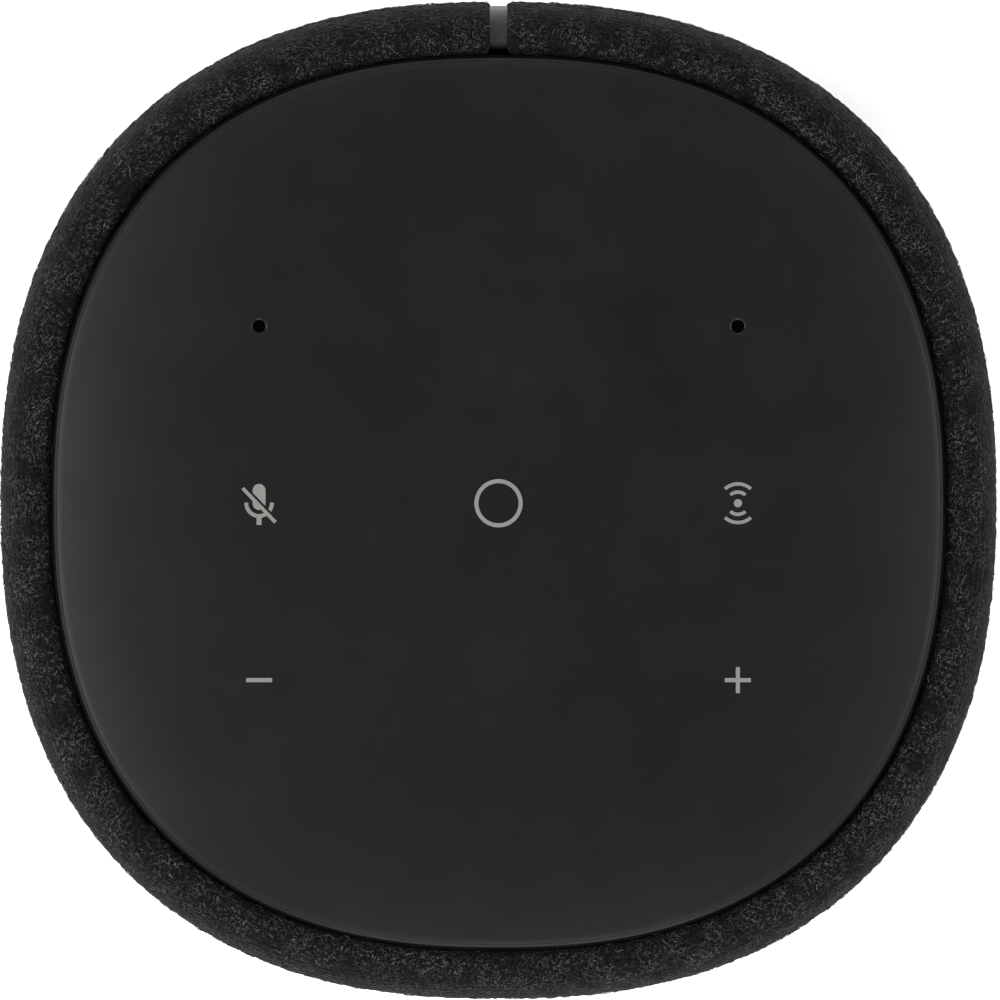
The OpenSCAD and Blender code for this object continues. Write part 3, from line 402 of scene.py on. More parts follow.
def board(name, mask, copper, track):
    """A printed board: tracks under a coloured mask, and tinned points."""
    made, tree, shader, place = new_material(name, 0.35)
    runs = tree.add("ShaderNodeTexBrick",
                    {"Vector": place, "Scale": 1.0, "Mortar Size": track * 0.16, "Brick Width": track * 9,
                     "Row Height": track, "Color1": shade(grey(0)), "Color2": shade(grey(0.25)),
                     "Mortar": shade(grey(1))}).outputs
    points = tree.add("ShaderNodeTexVoronoi", {"Vector": place, "Scale": 1 / (track * 2.6)})
    tinned = tree.remap(points.outputs["Distance"], 0.16, 0.12)
    under = tree.mix(runs[0], shade(mask, 0.8), shade(mask, 1.5))
    tree.feed(shader["Base Color"], tree.mix(tinned, under, shade(copper)))
    tree.feed(shader["Metallic"], tinned)
    tree.feed(shader["Roughness"], tree.remap(tree.speckle(place, 700.0), 0.3, 0.7, 0.28, 0.45))
    bump(tree, shader, tree.plus(runs[1], tinned), 0.00002)
    return made


# %% Table of finishes
FORWARD_TIP = math.pi / 2
UPRIGHT_LINES = (1.0, 0.04, 1.0)
FAMILIES = {
    # colour, roughness, size and depth of the grain in metres, wear, specular level
    moulded: {
        "soft_rubber": (grey(0.02), 0.75, 0.0003, 0.00002, 0.15, 0.35),
        "light_guide": ((0.62, 0.63, 0.62), 0.32, 0.0008, 0.00001, 0.1),
        "touch_film": ((0.28, 0.2, 0.09), 0.3, 0.0012, 0.00001, 0.1),
        "led": ((0.72, 0.7, 0.55), 0.35, 0.0002, 0.00001, 0.1),
        "ribbon": ((0.55, 0.56, 0.56), 0.42, 0.0006, 0.00001, 0.2),
        "inner_plastic": ((0.012, 0.012, 0.0125), 0.5, 0.0005, 0.00003, 0.4, 0.3),
        "spine_trim": ((0.009, 0.009, 0.0095), 0.5, 0.00025, 0.000012, 0.5, 0.15),
        "base_plastic": ((0.0065, 0.0065, 0.0068), 0.5, 0.00035, 0.00003, 0.45, 0.22),
        "foot_rubber": (grey(0.016), 0.85, 0.0005, 0.00004, 0.5, 0.3),
        "socket_plastic": (grey(0.005), 0.42, 0.0004, 0.00002, 0.4, 0.25),
        "lead_insulation": ((0.1, 0.012, 0.01), 0.45, 0.0004, 0.00002, 0.2),
        "component_body": ((0.018, 0.018, 0.02), 0.4, 0.0003, 0.00002, 0.6),
        "ferrite": ((0.035, 0.034, 0.036), 0.62, 0.0005, 0.00005, 0.9),
        "cabinet_plastic": ((0.014, 0.014, 0.0145), 0.55, 0.0006, 0.00004, 0.5, 0.3),
        "basket_steel": ((0.016, 0.016, 0.0165), 0.42, 0.0003, 0.00002, 0.8, 0.35),
        "surround_rubber": (grey(0.014), 0.55, 0.0004, 0.00001, 0.3, 0.4),
    },
    # colour, roughness, pitch of the lines in metres, how far each axis is drawn out
    metal: {
        "sensor_can": ((0.72, 0.66, 0.5), 0.28),
        "screw_steel": ((0.3, 0.3, 0.31), 0.33, 0.00015),
        "plated_pin": ((0.74, 0.72, 0.66), 0.2, 0.0001, UPRIGHT_LINES),
        "plated_can": ((0.66, 0.66, 0.65), 0.3),
        "heatsink": ((0.6, 0.61, 0.62), 0.36, 0.0003),
        "antenna_foil": ((0.82, 0.5, 0.3), 0.3, 0.0004),
        "plated_steel": ((0.56, 0.57, 0.58), 0.3, 0.0002, (1.0, 0.05, 1.0)),
        "coil_former": ((0.72, 0.38, 0.2), 0.3, 0.0003, (0.04, 1.0, 0.04)),
    },
    # two yarn colours, roughness, pitch and depth of the weave in metres, tip
    woven: {
        "acoustic_mesh": (grey(0.006), grey(0.012), 0.7, 0.00012, 0.00003),
        "spider_cloth": ((0.42, 0.22, 0.05), (0.34, 0.17, 0.035), 0.8, 0.0006, 0.0001, FORWARD_TIP),
        "cone_paper": ((0.012, 0.012, 0.013), (0.022, 0.022, 0.024), 0.6, 0.0009, 0.00006, FORWARD_TIP),
        "dome_silk": ((0.012, 0.012, 0.014), (0.02, 0.02, 0.024), 0.5, 0.0003, 0.00003, FORWARD_TIP),
    },
    # colour, roughness, size and depth of the cells in metres
    foam: {"foam_rubber": (grey(0.03), 0.9), "wadding": ((0.72, 0.71, 0.68), 0.95, 0.0005, 0.00025)},
    # colour of the mask, colour of the metal, pitch of the tracks in metres
    board: {"circuit_board": ((0.012, 0.07, 0.035), (0.75, 0.6, 0.32), 0.0009)},
}
FINISHES = {name: family(name, *values)
            for family, table in FAMILIES.items() for name, values in table.items()}
print("finishes:", len(FINISHES))

# %% [markdown]
# ## The touch panel's finish
# The panel is black glass-filled plastic with a satin coat: a fine spark-eroded grain, broken up by
# the faint smears that fingers leave. It reflects the side lights as a soft glow along its rim, so
# the roughness matters more than the colour.

# %% Panel and legend finishes
panel_look, tree, shader, place = new_material("satin_panel", 0.4, spec=0.18)
grain = tree.group(grain_group, {"Vector": place, "Size": 0.00022, "Variation": 0.5})
old = tree.group(wear_group, {"Vector": place, "Patch": 0.02, "Amount": 0.16})
base = tree.mix(tree.remap(grain["Tone"], -0.1, 0.5),
                shade((0.0014, 0.0018, 0.0016)), shade((0.0028, 0.0032, 0.003)))
tree.feed(shader["Base Color"], tree.mix(tree.times(old["Dust"], 0.12), base, shade((0.3, 0.3, 0.29))))
smears = tree.remap(tree.speckle(place, 34.0, 4.0, 0.6), 0.3, 0.75, 0.36, 0.44)
tree.feed(shader["Roughness"], tree.plus(smears, tree.times(grain["Height"], 0.06)))
bump(tree, shader, grain["Height"], 0.000006)

legend_look, tree, shader, place = new_material("printed_legend", 0.62, spec=0.3)
ink = tree.group(grain_group, {"Vector": place, "Size": 0.00012, "Variation": 0.4})
tone = tree.remap(ink["Tone"], -0.1, 0.5)
tree.feed(shader["Base Color"], tree.mix(tone, shade((0.1, 0.098, 0.092)), shade((0.152, 0.149, 0.141))))
tree.feed(shader["Roughness"], tree.remap(ink["Tone"], -0.1, 0.5, 0.55, 0.7))
bump(tree, shader, ink["Height"], 0.00001)
FINISHES.update(panel=panel_look, legend=legend_look)
print("panel and legend finishes made")

# %% [markdown]
# ## The wool cloth's finish
# The cloth is a charcoal melange: black and grey wool is mixed before it is spun, so each thread
# shows single paler hairs, and a few have a blue, green or brown cast. The weave and the hairs
# follow the cloth's own map, in metres along and up the sleeve. The hairs are noise drawn out in
# four directions, and a faint sheen on the shader stands for the nap that catches side light.

# %% Wool finish
wool_look, tree, shader, place = new_material("wool_melange", 0.9, spec=0.03)
shader["Sheen Weight"].default_value = 0.02
shader["Sheen Roughness"].default_value = 0.42
shader["Sheen Tint"].default_value = (0.72, 0.74, 0.76, 1)
cloth_map = tree.add("ShaderNodeUVMap", uv_map="cloth").outputs[0]
cloth = tree.group(weave_group, {"Vector": cloth_map, "Pitch": 0.0011, "Wander": 0.55})


def hairs(turn, offset):
    """Noise drawn out along one direction across the cloth, as thin curved streaks."""
    laid = tree.add("ShaderNodeMapping", {"Vector": cloth_map, "Location": (offset, offset, 0),
                                          "Rotation": (0, 0, turn), "Scale": (0.22, 0.8, 1.0)},
                    vector_type="TEXTURE").outputs[0]
    return tree.add("ShaderNodeTexNoise", {"Vector": laid, "Scale": 1000.0, "Detail": 1.5,
                                           "Roughness": 0.5, "Distortion": 0.35}).outputs[0]


lying = [hairs(turn, offset) for turn, offset in ((0.35, 0.0), (-0.6, 1.7), (1.35, 3.1), (-1.2, 5.3))]
flecks = [tree.remap(field, 0.6, 0.74) for field in lying]
pale_hairs = tree.sums("MAXIMUM", tree.sums("MAXIMUM", *flecks[:2]), tree.sums("MAXIMUM", *flecks[2:]))
shadows = tree.remap(tree.sums("MINIMUM", lying[0], lying[2]), 0.3, 0.46, 0.8, 0.0)
cast = tree.mix(tree.remap(tree.speckle(cloth_map, 420.0, 1.0), 0.35, 0.65),
                shade((0.0014, 0.0028, 0.003)), shade((0.0032, 0.0027, 0.0024)))
yarn = tree.mix(tree.remap(cloth["Cell"], 0.0, 1.0, 0.0, 0.6), cast, shade((0.0056, 0.0056, 0.0054)))
deep = tree.mix(shadows, yarn, shade((0.0012, 0.0014, 0.0014)))
patches = tree.remap(tree.speckle(cloth_map, 240.0), 0.35, 0.62, 0.15, 1.0)
lit = tree.mix(tree.times(pale_hairs, patches), deep, shade((0.07, 0.071, 0.068)))
# Painted shade: the gaps between the threads are darkened towards near black.
tree.feed(shader["Base Color"], tree.mix(tree.times(cloth["Gap Shade"], 0.35), lit, shade(grey(0.002))))
bump(tree, shader, tree.plus(cloth["Height"], pale_hairs), 0.00016, 0.8)
FINISHES["wool_fabric"] = wool_look

hair_look, tree, shader, place = new_material("loose_wool_hair", 0.75, spec=0.05)
own_tone = tree.add("ShaderNodeAttribute", attribute_name="hair_tone").outputs["Fac"]
dark_hair = tree.mix(tree.remap(tree.speckle(place, 300.0), 0.35, 0.65),
                     shade((0.0028, 0.004, 0.0042)), shade((0.0048, 0.0043, 0.004)))
tree.feed(shader["Base Color"], tree.mix(own_tone, dark_hair, shade((0.066, 0.067, 0.064))))
bump(tree, shader, tree.speckle(place, 9000.0), 0.00001)
print("wool finishes made")

# %% [markdown]
# ## Helpers for pieces
# A mesh is made from its points and faces, lies at the origin, and gets its finish and its body, and the
# model's node that it stands for is hidden. Sharp edges are marked by their angle, so that wide surfaces
# shade smooth and real corners stay crisp.


# %% Piece helpers
def new_piece(name, mesh, look, sharp):
    """An object at the origin in one finish, smooth but for the edges sharper than an angle."""
    mesh.materials.clear()
    mesh.materials.append(look)
    mesh.shade_smooth()
    mesh.set_sharp_from_angle(angle=math.radians(sharp))
    made = bpy.data.objects.new(name, mesh)
    scene.collection.objects.link(made)
    return made


def make_piece(name, points, faces, look, uvs=None, sharp=32):
    """A piece from its points and faces, and the cloth map of its points if it has one."""
    mesh = bpy.data.meshes.new(name)
    mesh.from_pydata(points, [], faces)
    if uvs:
        layer = mesh.uv_layers.new(name="cloth")
        layer.data.foreach_set("uv", [part for loop in mesh.loops for part in uvs[loop.vertex_index]])
    mesh.update()
    return new_piece(name, mesh, look, sharp)


def set_in(piece, node_names, body="hub"):
    """The piece rides on its body, and the nodes it stands for are hidden."""
    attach(piece, body)
    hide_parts(*node_names)
    print(piece.name, "faces:", len(piece.data.polygons))


def applied(piece):
    """The piece with its modifiers worked out, as one plain mesh."""
    seen = piece.evaluated_get(bpy.context.evaluated_depsgraph_get())
    mesh = bpy.data.meshes.new_from_object(seen)
    piece.modifiers.clear()
    piece.data = mesh
    return piece


def cut_out(piece, cutter, sharp):
    """The space of the cutter taken out of the piece, with its sharp edges marked again."""
    cut = piece.modifiers.new("cut", "BOOLEAN")
    cut.object = cutter
    cut.solver = "EXACT"
    applied(piece).data.set_sharp_from_angle(angle=math.radians(sharp))
    bpy.data.objects.remove(cutter)


def face_outwards(piece):
    """Every face of a closed piece turned to point out of it."""
    shape = bmesh.new()
    shape.from_mesh(piece.data)
    bmesh.ops.recalc_face_normals(shape, faces=shape.faces)
    shape.to_mesh(piece.data)
    shape.free()


def turned(section, steps, place_at):
    """Points and faces of a solid from a section of (size, height) that starts and ends on its axis."""
    points = [place_at(0, 0, section[0][1])]
    for size, height_here in section[1:-1]:
        points += [place_at(size, math.tau * k / steps, height_here) for k in range(steps)]
    points.append(place_at(0, 0, section[-1][1]))
    rings, last = len(section) - 2, len(points) - 1
    tail = 1 + (rings - 1) * steps
    faces = []
    for k in range(steps):
        turn = (k + 1) % steps
        faces.append((0, 1 + k, 1 + turn))
        for near in range(1, tail, steps):
            faces.append((near + k, near + steps + k, near + steps + turn, near + turn))
        faces.append((tail + k, last, tail + turn))
    return points, faces


def round_point(radius, angle, z):
    """A point on a circle about the Z axis."""
    return (radius * math.cos(angle), radius * math.sin(angle), z)


# %% [markdown]
# ## The touch panel
# The panel is a shallow dome that falls faster towards its rim, then breaks into a narrow bevel and
# a straight side. It is turned from one half section: each point of the section becomes a ring on
# the plan outline. The section doubles back under the dome, so the panel is a closed, hollow shell
# with a skirt. The two microphone holes are cut through it with a flared cutter, as a moulding tool
# leaves a soft lip at a hole.

# %% Section of the panel
PANEL_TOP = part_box("top_panel")[1][2] / MM
PANEL_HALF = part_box("top_panel")[1][0] / MM
PANEL_FALL = 3.2
PANEL_WALL = 2.2
RIM_FACE = 0.9905 * PANEL_HALF
FACE_RINGS = 46
RING_STEPS = 288


def dome(half):
    """Height of the panel's face at a half width, in millimetres."""
    return PANEL_TOP - PANEL_FALL * (half / PANEL_HALF) ** 5


face_steps = [RIM_FACE * (1 - (1 - k / FACE_RINGS) ** 1.15) for k in range(FACE_RINGS + 1)]
rim = [(59.47, 184.93), (59.51, 184.86), (59.55, 184.79), (59.6, 184.73), (59.88, 184.48), (59.95, 184.4),
       (59.99, 184.26), (59.99, 183.0), (58.6, 183.0), (58.6, 180.5), (57.2, 180.5)]
under = [(half, dome(half) - PANEL_WALL) for half in (57.2, 52, 46, 38, 26, 12, 0)]
panel_section = [(half, dome(half)) for half in face_steps] + rim + under
panel = make_piece("touch_panel", *turned(panel_section, RING_STEPS, plan_point), panel_look)

# %% Microphone holes
KEY_X = 32.2
MIC_Y = 23.8
MIC_RADIUS = 0.85
CUTTER_STEPS = 64
hole_top = dome(math.hypot(KEY_X, MIC_Y))
flare = [(0, 0.3), (MIC_RADIUS + 0.5, 0.3), (MIC_RADIUS + 0.12, 0.01), (MIC_RADIUS + 0.03, -0.07),
         (MIC_RADIUS, -0.18), (MIC_RADIUS, -5.0), (0, -5.0)]


def hole_cutter(side):
    """A flared cutter for the microphone hole on one side."""
    points, faces = turned(flare, CUTTER_STEPS, round_point)
    centre = Vector((side * KEY_X, MIC_Y, hole_top))
    return make_piece("cutter", [(centre + Vector(point)) * MM for point in points], faces, panel_look)


for side in (-1, 1):
    cut_out(panel, hole_cutter(side), 32)
set_in(panel, ["top_panel"])

# %% [markdown]
# ## The sleeve
# The cloth is cut as one piece, wrapped round the body, rolled over the shoulder and tucked into the
# groove beside the panel. Its two ends meet at the rear, on either side of a thin strip, and a window
# is cut for the sockets. The sheet is built as a grid of points: rows climb the section from the
# bottom fold to the tuck, and columns run round the plan from one side of the strip to the other. A
# second grid lies one cloth thickness inside, and walls join the two wherever the cloth ends. Near
# each cut edge the outer grid turns in along a quarter circle, as folded cloth does.

# %% Section of the sleeve
CLOTH = 1.45
BELLY_Z = 80
SHOULDER_Z = 174
ROLL_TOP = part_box("fabric_sleeve")[1][2] / MM
HEM_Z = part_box("fabric_sleeve")[0][2] / MM
ROLL_HALF = 62.4
FOLD = 2.6
TUCK_IN = 1.9
TUCK_TALL = 1.6
TAPER_ABOVE, TAPER_BELOW = 2.6, 4
BELLY_TO_FOLD = 70.8


def belly(z):
    """Half width of the body at a height, in millimetres."""
    if z > BELLY_Z:
        return BODY_HALF - TAPER_ABOVE * ((z - BELLY_Z) / (SHOULDER_Z - BELLY_Z)) ** 2
    return BODY_HALF - TAPER_BELOW * ((BELLY_Z - z) / BELLY_TO_FOLD) ** 2.2


def arc(centre, radii, first, last, steps):
    """Points on part of an ellipse, from the first angle to the last, in degrees."""
    angles = [math.radians(first + (last - first) * k / steps) for k in range(steps + 1)]
    return [(centre[0] + radii[0] * math.cos(a), centre[1] + radii[1] * math.sin(a)) for a in angles]


FOLD_TOP = 12.2
WINDOW_TOP = 34.4
OPEN_SIDE = 36
EDGE_ROUND = [0.0, 0.06, 0.22, 0.48, 0.8]
SIDE_STEP = 1.72
shoulder_half = belly(SHOULDER_Z)
fold_centre = (belly(HEM_Z + FOLD) - FOLD, HEM_Z + FOLD)
section = [(61.5, HEM_Z), (62.6, HEM_Z)] + arc(fold_centre, (FOLD, FOLD), -90, -18, 7)
low = [FOLD_TOP + (WINDOW_TOP - FOLD_TOP) * k / 13 for k in range(13)]
high_count = round((SHOULDER_Z - OPEN_SIDE) / SIDE_STEP)
high = [OPEN_SIDE + (SHOULDER_Z - OPEN_SIDE) * k / high_count for k in range(high_count)]
side_heights = low + [WINDOW_TOP + step for step in EDGE_ROUND] + high
section += [(belly(z), z) for z in side_heights]
section += arc((ROLL_HALF, SHOULDER_Z), (shoulder_half - ROLL_HALF, ROLL_TOP - SHOULDER_Z), 2, 90, 15)
section += arc((ROLL_HALF, ROLL_TOP - TUCK_TALL), (TUCK_IN, TUCK_TALL), 105, 180, 6)
section += [(ROLL_HALF - TUCK_IN, z) for z in (181.4, 180.2, 179.0, 178.0)]
print("rows in the section:", len(section))

# %% Columns round the plan
SLIT_X = 1.23
WINDOW_X = 19.4
slit_columns = [SLIT_X + step for step in EDGE_ROUND]
between = [2.9 + (WINDOW_X - 0.6 - 2.9) * k / 9 for k in range(10)]
window_columns = [WINDOW_X + step for step in EDGE_ROUND]
straight = slit_columns + between + window_columns + [21.6, 23.3, 25.0]
AROUND = 118


def straight_point(half, x):
    """The angle at which the outline of this half width is x away from the middle plane."""
    y = half * (1 - (x / half) ** PLAN_POWER) ** (1 / PLAN_POWER)
    return math.atan2(y, x)


FINE_STEPS = 4000
fine_angles = [math.radians(70 - 160 * k / FINE_STEPS) for k in range(FINE_STEPS + 1)]
lengths = [0.0]
for first, second in zip(fine_angles, fine_angles[1:]):
    a, b = plan_point(BODY_HALF, first, 0), plan_point(BODY_HALF, second, 0)
    lengths.append(lengths[-1] + math.dist(a, b) / MM)


def even_angles(first_angle):
    """Angles evenly spaced along the outline, from one angle to the front's middle."""
    begin = next(k for k, a in enumerate(fine_angles) if a <= first_angle)
    total = lengths[-1] - lengths[begin]
    found = []
    at = begin
    for k in range(1, AROUND + 1):
        goal = lengths[begin] + total * k / AROUND
        while at < len(lengths) - 1 and lengths[at] < goal - 1e-9:
            at += 1
        found.append(fine_angles[at])
    found[-1] = math.radians(-90)
    return found


def row_angles(half):
    """Angles of every column on one row: the right side, and its mirror image to the left."""
    right = [straight_point(half, x) for x in straight]
    right += even_angles(right[-1])
    left = [math.pi - a for a in reversed(right[:-1])]
    return right + left


COLUMNS = 2 * (len(straight) + AROUND) - 1
print("columns round the plan:", COLUMNS)


# %% The two grids
def section_normal(k):
    """Outward direction of the section at a point, in its own plane."""
    before, after = section[max(k - 1, 0)], section[min(k + 1, len(section) - 1)]
    run, rise = after[0] - before[0], after[1] - before[1]
    size = math.hypot(run, rise)
    return (rise / size, -run / size)


def edge_turn(x, z, y):
    """How far the cloth has turned in, at a distance from the slit or the window."""
    if y < 0:
        return 0.0
    gap_to_slit = abs(x) - SLIT_X
    gap_to_window = math.hypot(max(abs(x) - WINDOW_X, 0), max(z - WINDOW_TOP, 0))
    radius = EDGE_ROUND[-1]
    gap = min(gap_to_slit, gap_to_window)
    if gap >= radius:
        return 0.0
    return radius - math.sqrt(radius ** 2 - (radius - max(gap, 0)) ** 2)


LUMP, RIPPLE, SINK = 0.022, 0.01, 0.02
outer, inner, uvs = [], [], []
climb = 0.0
for row, (half, z) in enumerate(section):
    if row:
        climb += math.dist(section[row], section[row - 1])
    out_half, out_z = section_normal(row)
    travelled = 0.0
    previous = None
    for angle in row_angles(half):
        x, y, _ = plan_point(half, angle, z)
        turn_in = edge_turn(x / MM, z, y)
        swell = noise.noise(Vector((x * 90, y * 90, z * 0.09))) * LUMP
        swell += noise.noise(Vector((x * 420, y * 420, z * 0.42))) * RIPPLE
        lift = swell - SINK - turn_in
        outer.append(plan_point(half + out_half * lift, angle, z + out_z * lift))
        deep = -CLOTH + 0.3 * turn_in
        inner.append(plan_point(half + out_half * deep, angle, z + out_z * deep))
        here = plan_point(belly(BELLY_Z), angle, 0)
        travelled += math.dist(here, previous) if previous else 0.0
        previous = here
        uvs.append((travelled, climb * MM))
print("grid points on one side of the cloth:", len(outer))


# %% Sleeve shell
def kept(row, column):
    """True where the cloth has a cell, false outside it and in the window."""
    if not (0 <= row < len(section) - 1 and 0 <= column < COLUMNS - 1):
        return False
    window_cells = len(slit_columns) + len(between)
    near_slit = min(column, COLUMNS - 2 - column) < window_cells
    return not (near_slit and section[row][1] < WINDOW_TOP - 0.01)


def corner(row, column):
    """The number of a grid point."""
    return row * COLUMNS + column


shift_inner = len(outer)
faces, outside_faces = [], []
for row in range(len(section) - 1):
    for column in range(COLUMNS - 1):
        if not kept(row, column):
            continue
        a, b = corner(row, column), corner(row + 1, column)
        c, d = corner(row + 1, column + 1), corner(row, column + 1)
        outside_faces.append((a, b, c, d))
        faces += [(a, b, c, d), (d + shift_inner, c + shift_inner, b + shift_inner, a + shift_inner)]
        for neighbour, (p, q) in (((row, column - 1), (a, b)), ((row + 1, column), (b, c)),
                                  ((row, column + 1), (c, d)), ((row - 1, column), (d, a))):
            if not kept(*neighbour):
                faces.append((q, p, p + shift_inner, q + shift_inner))
sleeve = make_piece("wool_sleeve", outer + inner, faces, wool_look, uvs + uvs, sharp=60)
tidy = bmesh.new()
tidy.from_mesh(sleeve.data)
loose = [v for v in tidy.verts if not v.link_faces]
bmesh.ops.delete(tidy, geom=loose, context="VERTS")
tidy.to_mesh(sleeve.data)
tidy.free()
set_in(sleeve, ["fabric_sleeve"])

# %% [markdown]
# ## Loose wool hairs
# Wool cloth has a nap: short hair ends stand out of the yarn and catch the light, and from above
# they are what the eye sees first. They are real geometry here, because they break up the outline
# too. A tree of Geometry Nodes scatters points over the outside of the sleeve, puts a bent hair of a
# few faces on each, turns and sizes it at random from a fixed seed, and gives it a tone of its own.


# %% Geometry tree helpers
def new_rule(name, inputs):
    """A geometry tree that takes a mesh and the inputs given, and gives a mesh."""
    print("tree:", name)
    mesh_socket = [("Geometry", "Geometry", None)]
    return new_tree(name, "GeometryNodeTree", mesh_socket + inputs, mesh_socket)


def random_value(rule, low, high, seed):
    """A random number for each point or copy, in a range."""
    return rule.add("FunctionNodeRandomValue", {2: low, 3: high, "Seed": seed}, data_type="FLOAT").outputs[1]


def settle(rule, copies, look, target):
    """The copies made real, in one finish, as what the tree gives."""
    real = rule.add("GeometryNodeRealizeInstances", {"Geometry": copies}).outputs[0]
    rule.feed(target, rule.add("GeometryNodeSetMaterial", {"Geometry": real, "Material": look}).outputs[0])


def grow(base, rule, values):
    """A plain mesh grown from the base by the tree, with its inputs set by their identifiers."""
    growth = base.modifiers.new("grow", "NODES")
    growth.node_group = rule.tree
    for item in rule.tree.interface.items_tree:
        if item.item_type == "SOCKET" and item.in_out == "INPUT" and item.name in values:
            growth[item.identifier] = values[item.name]
    return applied(base)


# %% Hair tree
hair_rule, given, result = new_rule("wool_hair", [
    ("Per Square Metre", "Float", 100000.0), ("Length", "Float", 0.0011), ("Thickness", "Float", 0.00005),
    ("Lift", "Float", 0.0002), ("Seed", "Int", 1), ("Finish", "Material", None)])
scatter = hair_rule.add("GeometryNodeDistributePointsOnFaces", {
    "Mesh": given["Geometry"], "Density": given["Per Square Metre"], "Seed": given["Seed"]}).outputs
half_length = hair_rule.times(given["Length"], 0.5)
root, crook, tip = [hair_rule.add("ShaderNodeCombineXYZ", {0: x, 1: y, 2: z}).outputs[0] for x, y, z in (
    (hair_rule.times(half_length, -1.0), 0.0, 0.0),
    (0.0, hair_rule.times(half_length, 0.5), given["Lift"]),
    (half_length, 0.0, hair_rule.times(given["Lift"], 0.4)))]
line = hair_rule.add("GeometryNodeCurveQuadraticBezier", {
    "Resolution": 2, "Start": root, "Middle": crook, "End": tip}).outputs[0]
ring = hair_rule.add("GeometryNodeCurvePrimitiveCircle", {
    "Resolution": 3, "Radius": given["Thickness"]}).outputs[0]
hair = hair_rule.add("GeometryNodeCurveToMesh", {
    "Curve": line, "Profile Curve": ring, "Fill Caps": True}).outputs[0]
spin = hair_rule.add("FunctionNodeAxisAngleToRotation", {
    "Axis": (0, 0, 1), "Angle": random_value(hair_rule, 0.0, math.tau, given["Seed"])}).outputs[0]
lay = hair_rule.add("FunctionNodeRotateRotation", {
    "Rotation": scatter["Rotation"], "Rotate By": spin}, rotation_space="LOCAL").outputs[0]
size_seed, tone_seed = [hair_rule.plus(given["Seed"], step) for step in (7.0, 13.0)]
placed = hair_rule.add("GeometryNodeInstanceOnPoints", {
    "Points": scatter["Points"], "Instance": hair, "Rotation": lay,
    "Scale": random_value(hair_rule, 0.5, 1.5, size_seed)}).outputs[0]
paler = hair_rule.sums("POWER", random_value(hair_rule, 0.0, 1.0, tone_seed), 1.7)
marked = hair_rule.add("GeometryNodeStoreNamedAttribute", {
    "Geometry": placed, "Name": "hair_tone", "Value": paler}, data_type="FLOAT", domain="INSTANCE").outputs[0]
settle(hair_rule, marked, given["Finish"], result["Geometry"])

# %% Grow the hairs
HAIRS = {
    # hairs on a square metre, then length, thickness and lift in metres
    "wool_hair_a": (118000.0, 0.0008, 0.00005, 0.00008),
    "wool_hair_b": (118000.0, 0.0006, 0.000055, 0.00006),
    "wool_hair_c": (100000.0, 0.0011, 0.00003, 0.00022),
}
FIRST_SEED = 11
for seed, (name, (density, length, thickness, lift)) in enumerate(HAIRS.items(), FIRST_SEED):
    nap = make_piece(name, outer, outside_faces, hair_look)
    grow(nap, hair_rule, {"Per Square Metre": density, "Length": length, "Thickness": thickness,
                          "Lift": lift, "Seed": seed, "Finish": hair_look})
    nap.data.shade_smooth()
    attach(nap, "hub")
    print(name, "faces:", len(nap.data.polygons))

# %% [markdown]
# ## Smooth copies of the model's own pieces
# The imported model's meshes are loose triangles, so they shade in facets. Where a curved piece shows,
# a copy is merged into one surface and shaded smooth between its real corners, and it stands for
# the original. Pieces that are mostly flat keep the original and only get their finish. The carrier
# gets a darker, duller finish of its own, which paints the shade at the bottom of the groove round the panel.


# %% Copy helpers
record = frame["record"]
slot_of = {part["node"]: part["material_slot"] for part in record["subparts"]}
body_of_node = {node: body for body, members in record["behaviour"]["bodies"].items() for node in members}
MERGE_DISTANCE = 1e-6


def merged(node):
    """A copy of a node's triangles, joined where they meet."""
    shape = bmesh.new()
    shape.from_mesh(nodes[node].data)
    bmesh.ops.remove_doubles(shape, verts=shape.verts, dist=MERGE_DISTANCE)
    return shape


def smooth_copy(node, look):
    """A merged, smooth copy of a node's mesh, which stands for the node on its body."""
    name = node + "_smooth"
    shape = merged(node)
    mesh = bpy.data.meshes.new(name)
    shape.to_mesh(mesh)
    shape.free()
    set_in(new_piece(name, mesh, look, 30), [node], body_of_node[node])


# %% Make the copies
# Painted shade: the carrier is darker and duller than the other inner plastic, so its rim shows as the dark
# groove round the panel.
CARRIER_SHADE_LOOK = moulded("carrier_painted_shade", (0.0028, 0.0028, 0.003), 0.7, 0.0005, 0.00003, 0.1, 0.04)
SMOOTH = ["rear_spine", "base_cover", "foot_ring", "port_plate", "inlet_socket", "inlet_pins",
          "service_socket", "grille_frame", "top_carrier", "bass_port", "woofer_cone", "woofer_basket",
          "woofer_magnet", "woofer_yoke", "woofer_top_plate", "woofer_coil", "woofer_gasket", "tweeter_dome",
          "tweeter_faceplate", "tweeter_motor", "cabinet_front", "cabinet_rear", "mains_leads",
          "supply_harness", "speaker_leads"]
for node in SMOOTH:
    smooth_copy(node, CARRIER_SHADE_LOOK if node == "top_carrier" else FINISHES[slot_of[node]])

# %% [markdown]
# ## Screws
# Thirty-three screws of seven sizes hold the hub together. Each size is turned once: a pan head with
# a domed rim, a crossed recess and a cut thread. Where the screws sit is read from the model: each
# separate solid in a screw node gives one place. A tree of Geometry Nodes then sets the screw on
# every place and gives each its own turn, as no two screws stop at the same angle.


# %% Where the screws sit
def separate_boxes(node):
    """The lowest and highest corner of each separate solid in a node."""
    shape = merged(node)
    seen, boxes = set(), []
    for first in shape.verts:
        if first in seen:
            continue
        seen.add(first)
        waiting, corners = [first], []
        while waiting:
            vert = waiting.pop()
            corners.append(vert.co.copy())
            beside = {link.other_vert(vert) for link in vert.link_edges} - seen
            seen |= beside
            waiting += beside
        boxes.append([Vector([pick(c[k] for c in corners) for k in range(3)]) for pick in (min, max)])
    shape.free()
    return boxes


# %% One screw
SCREW_STEPS = 28
STEEL_LOOK = FINISHES["screw_steel"]


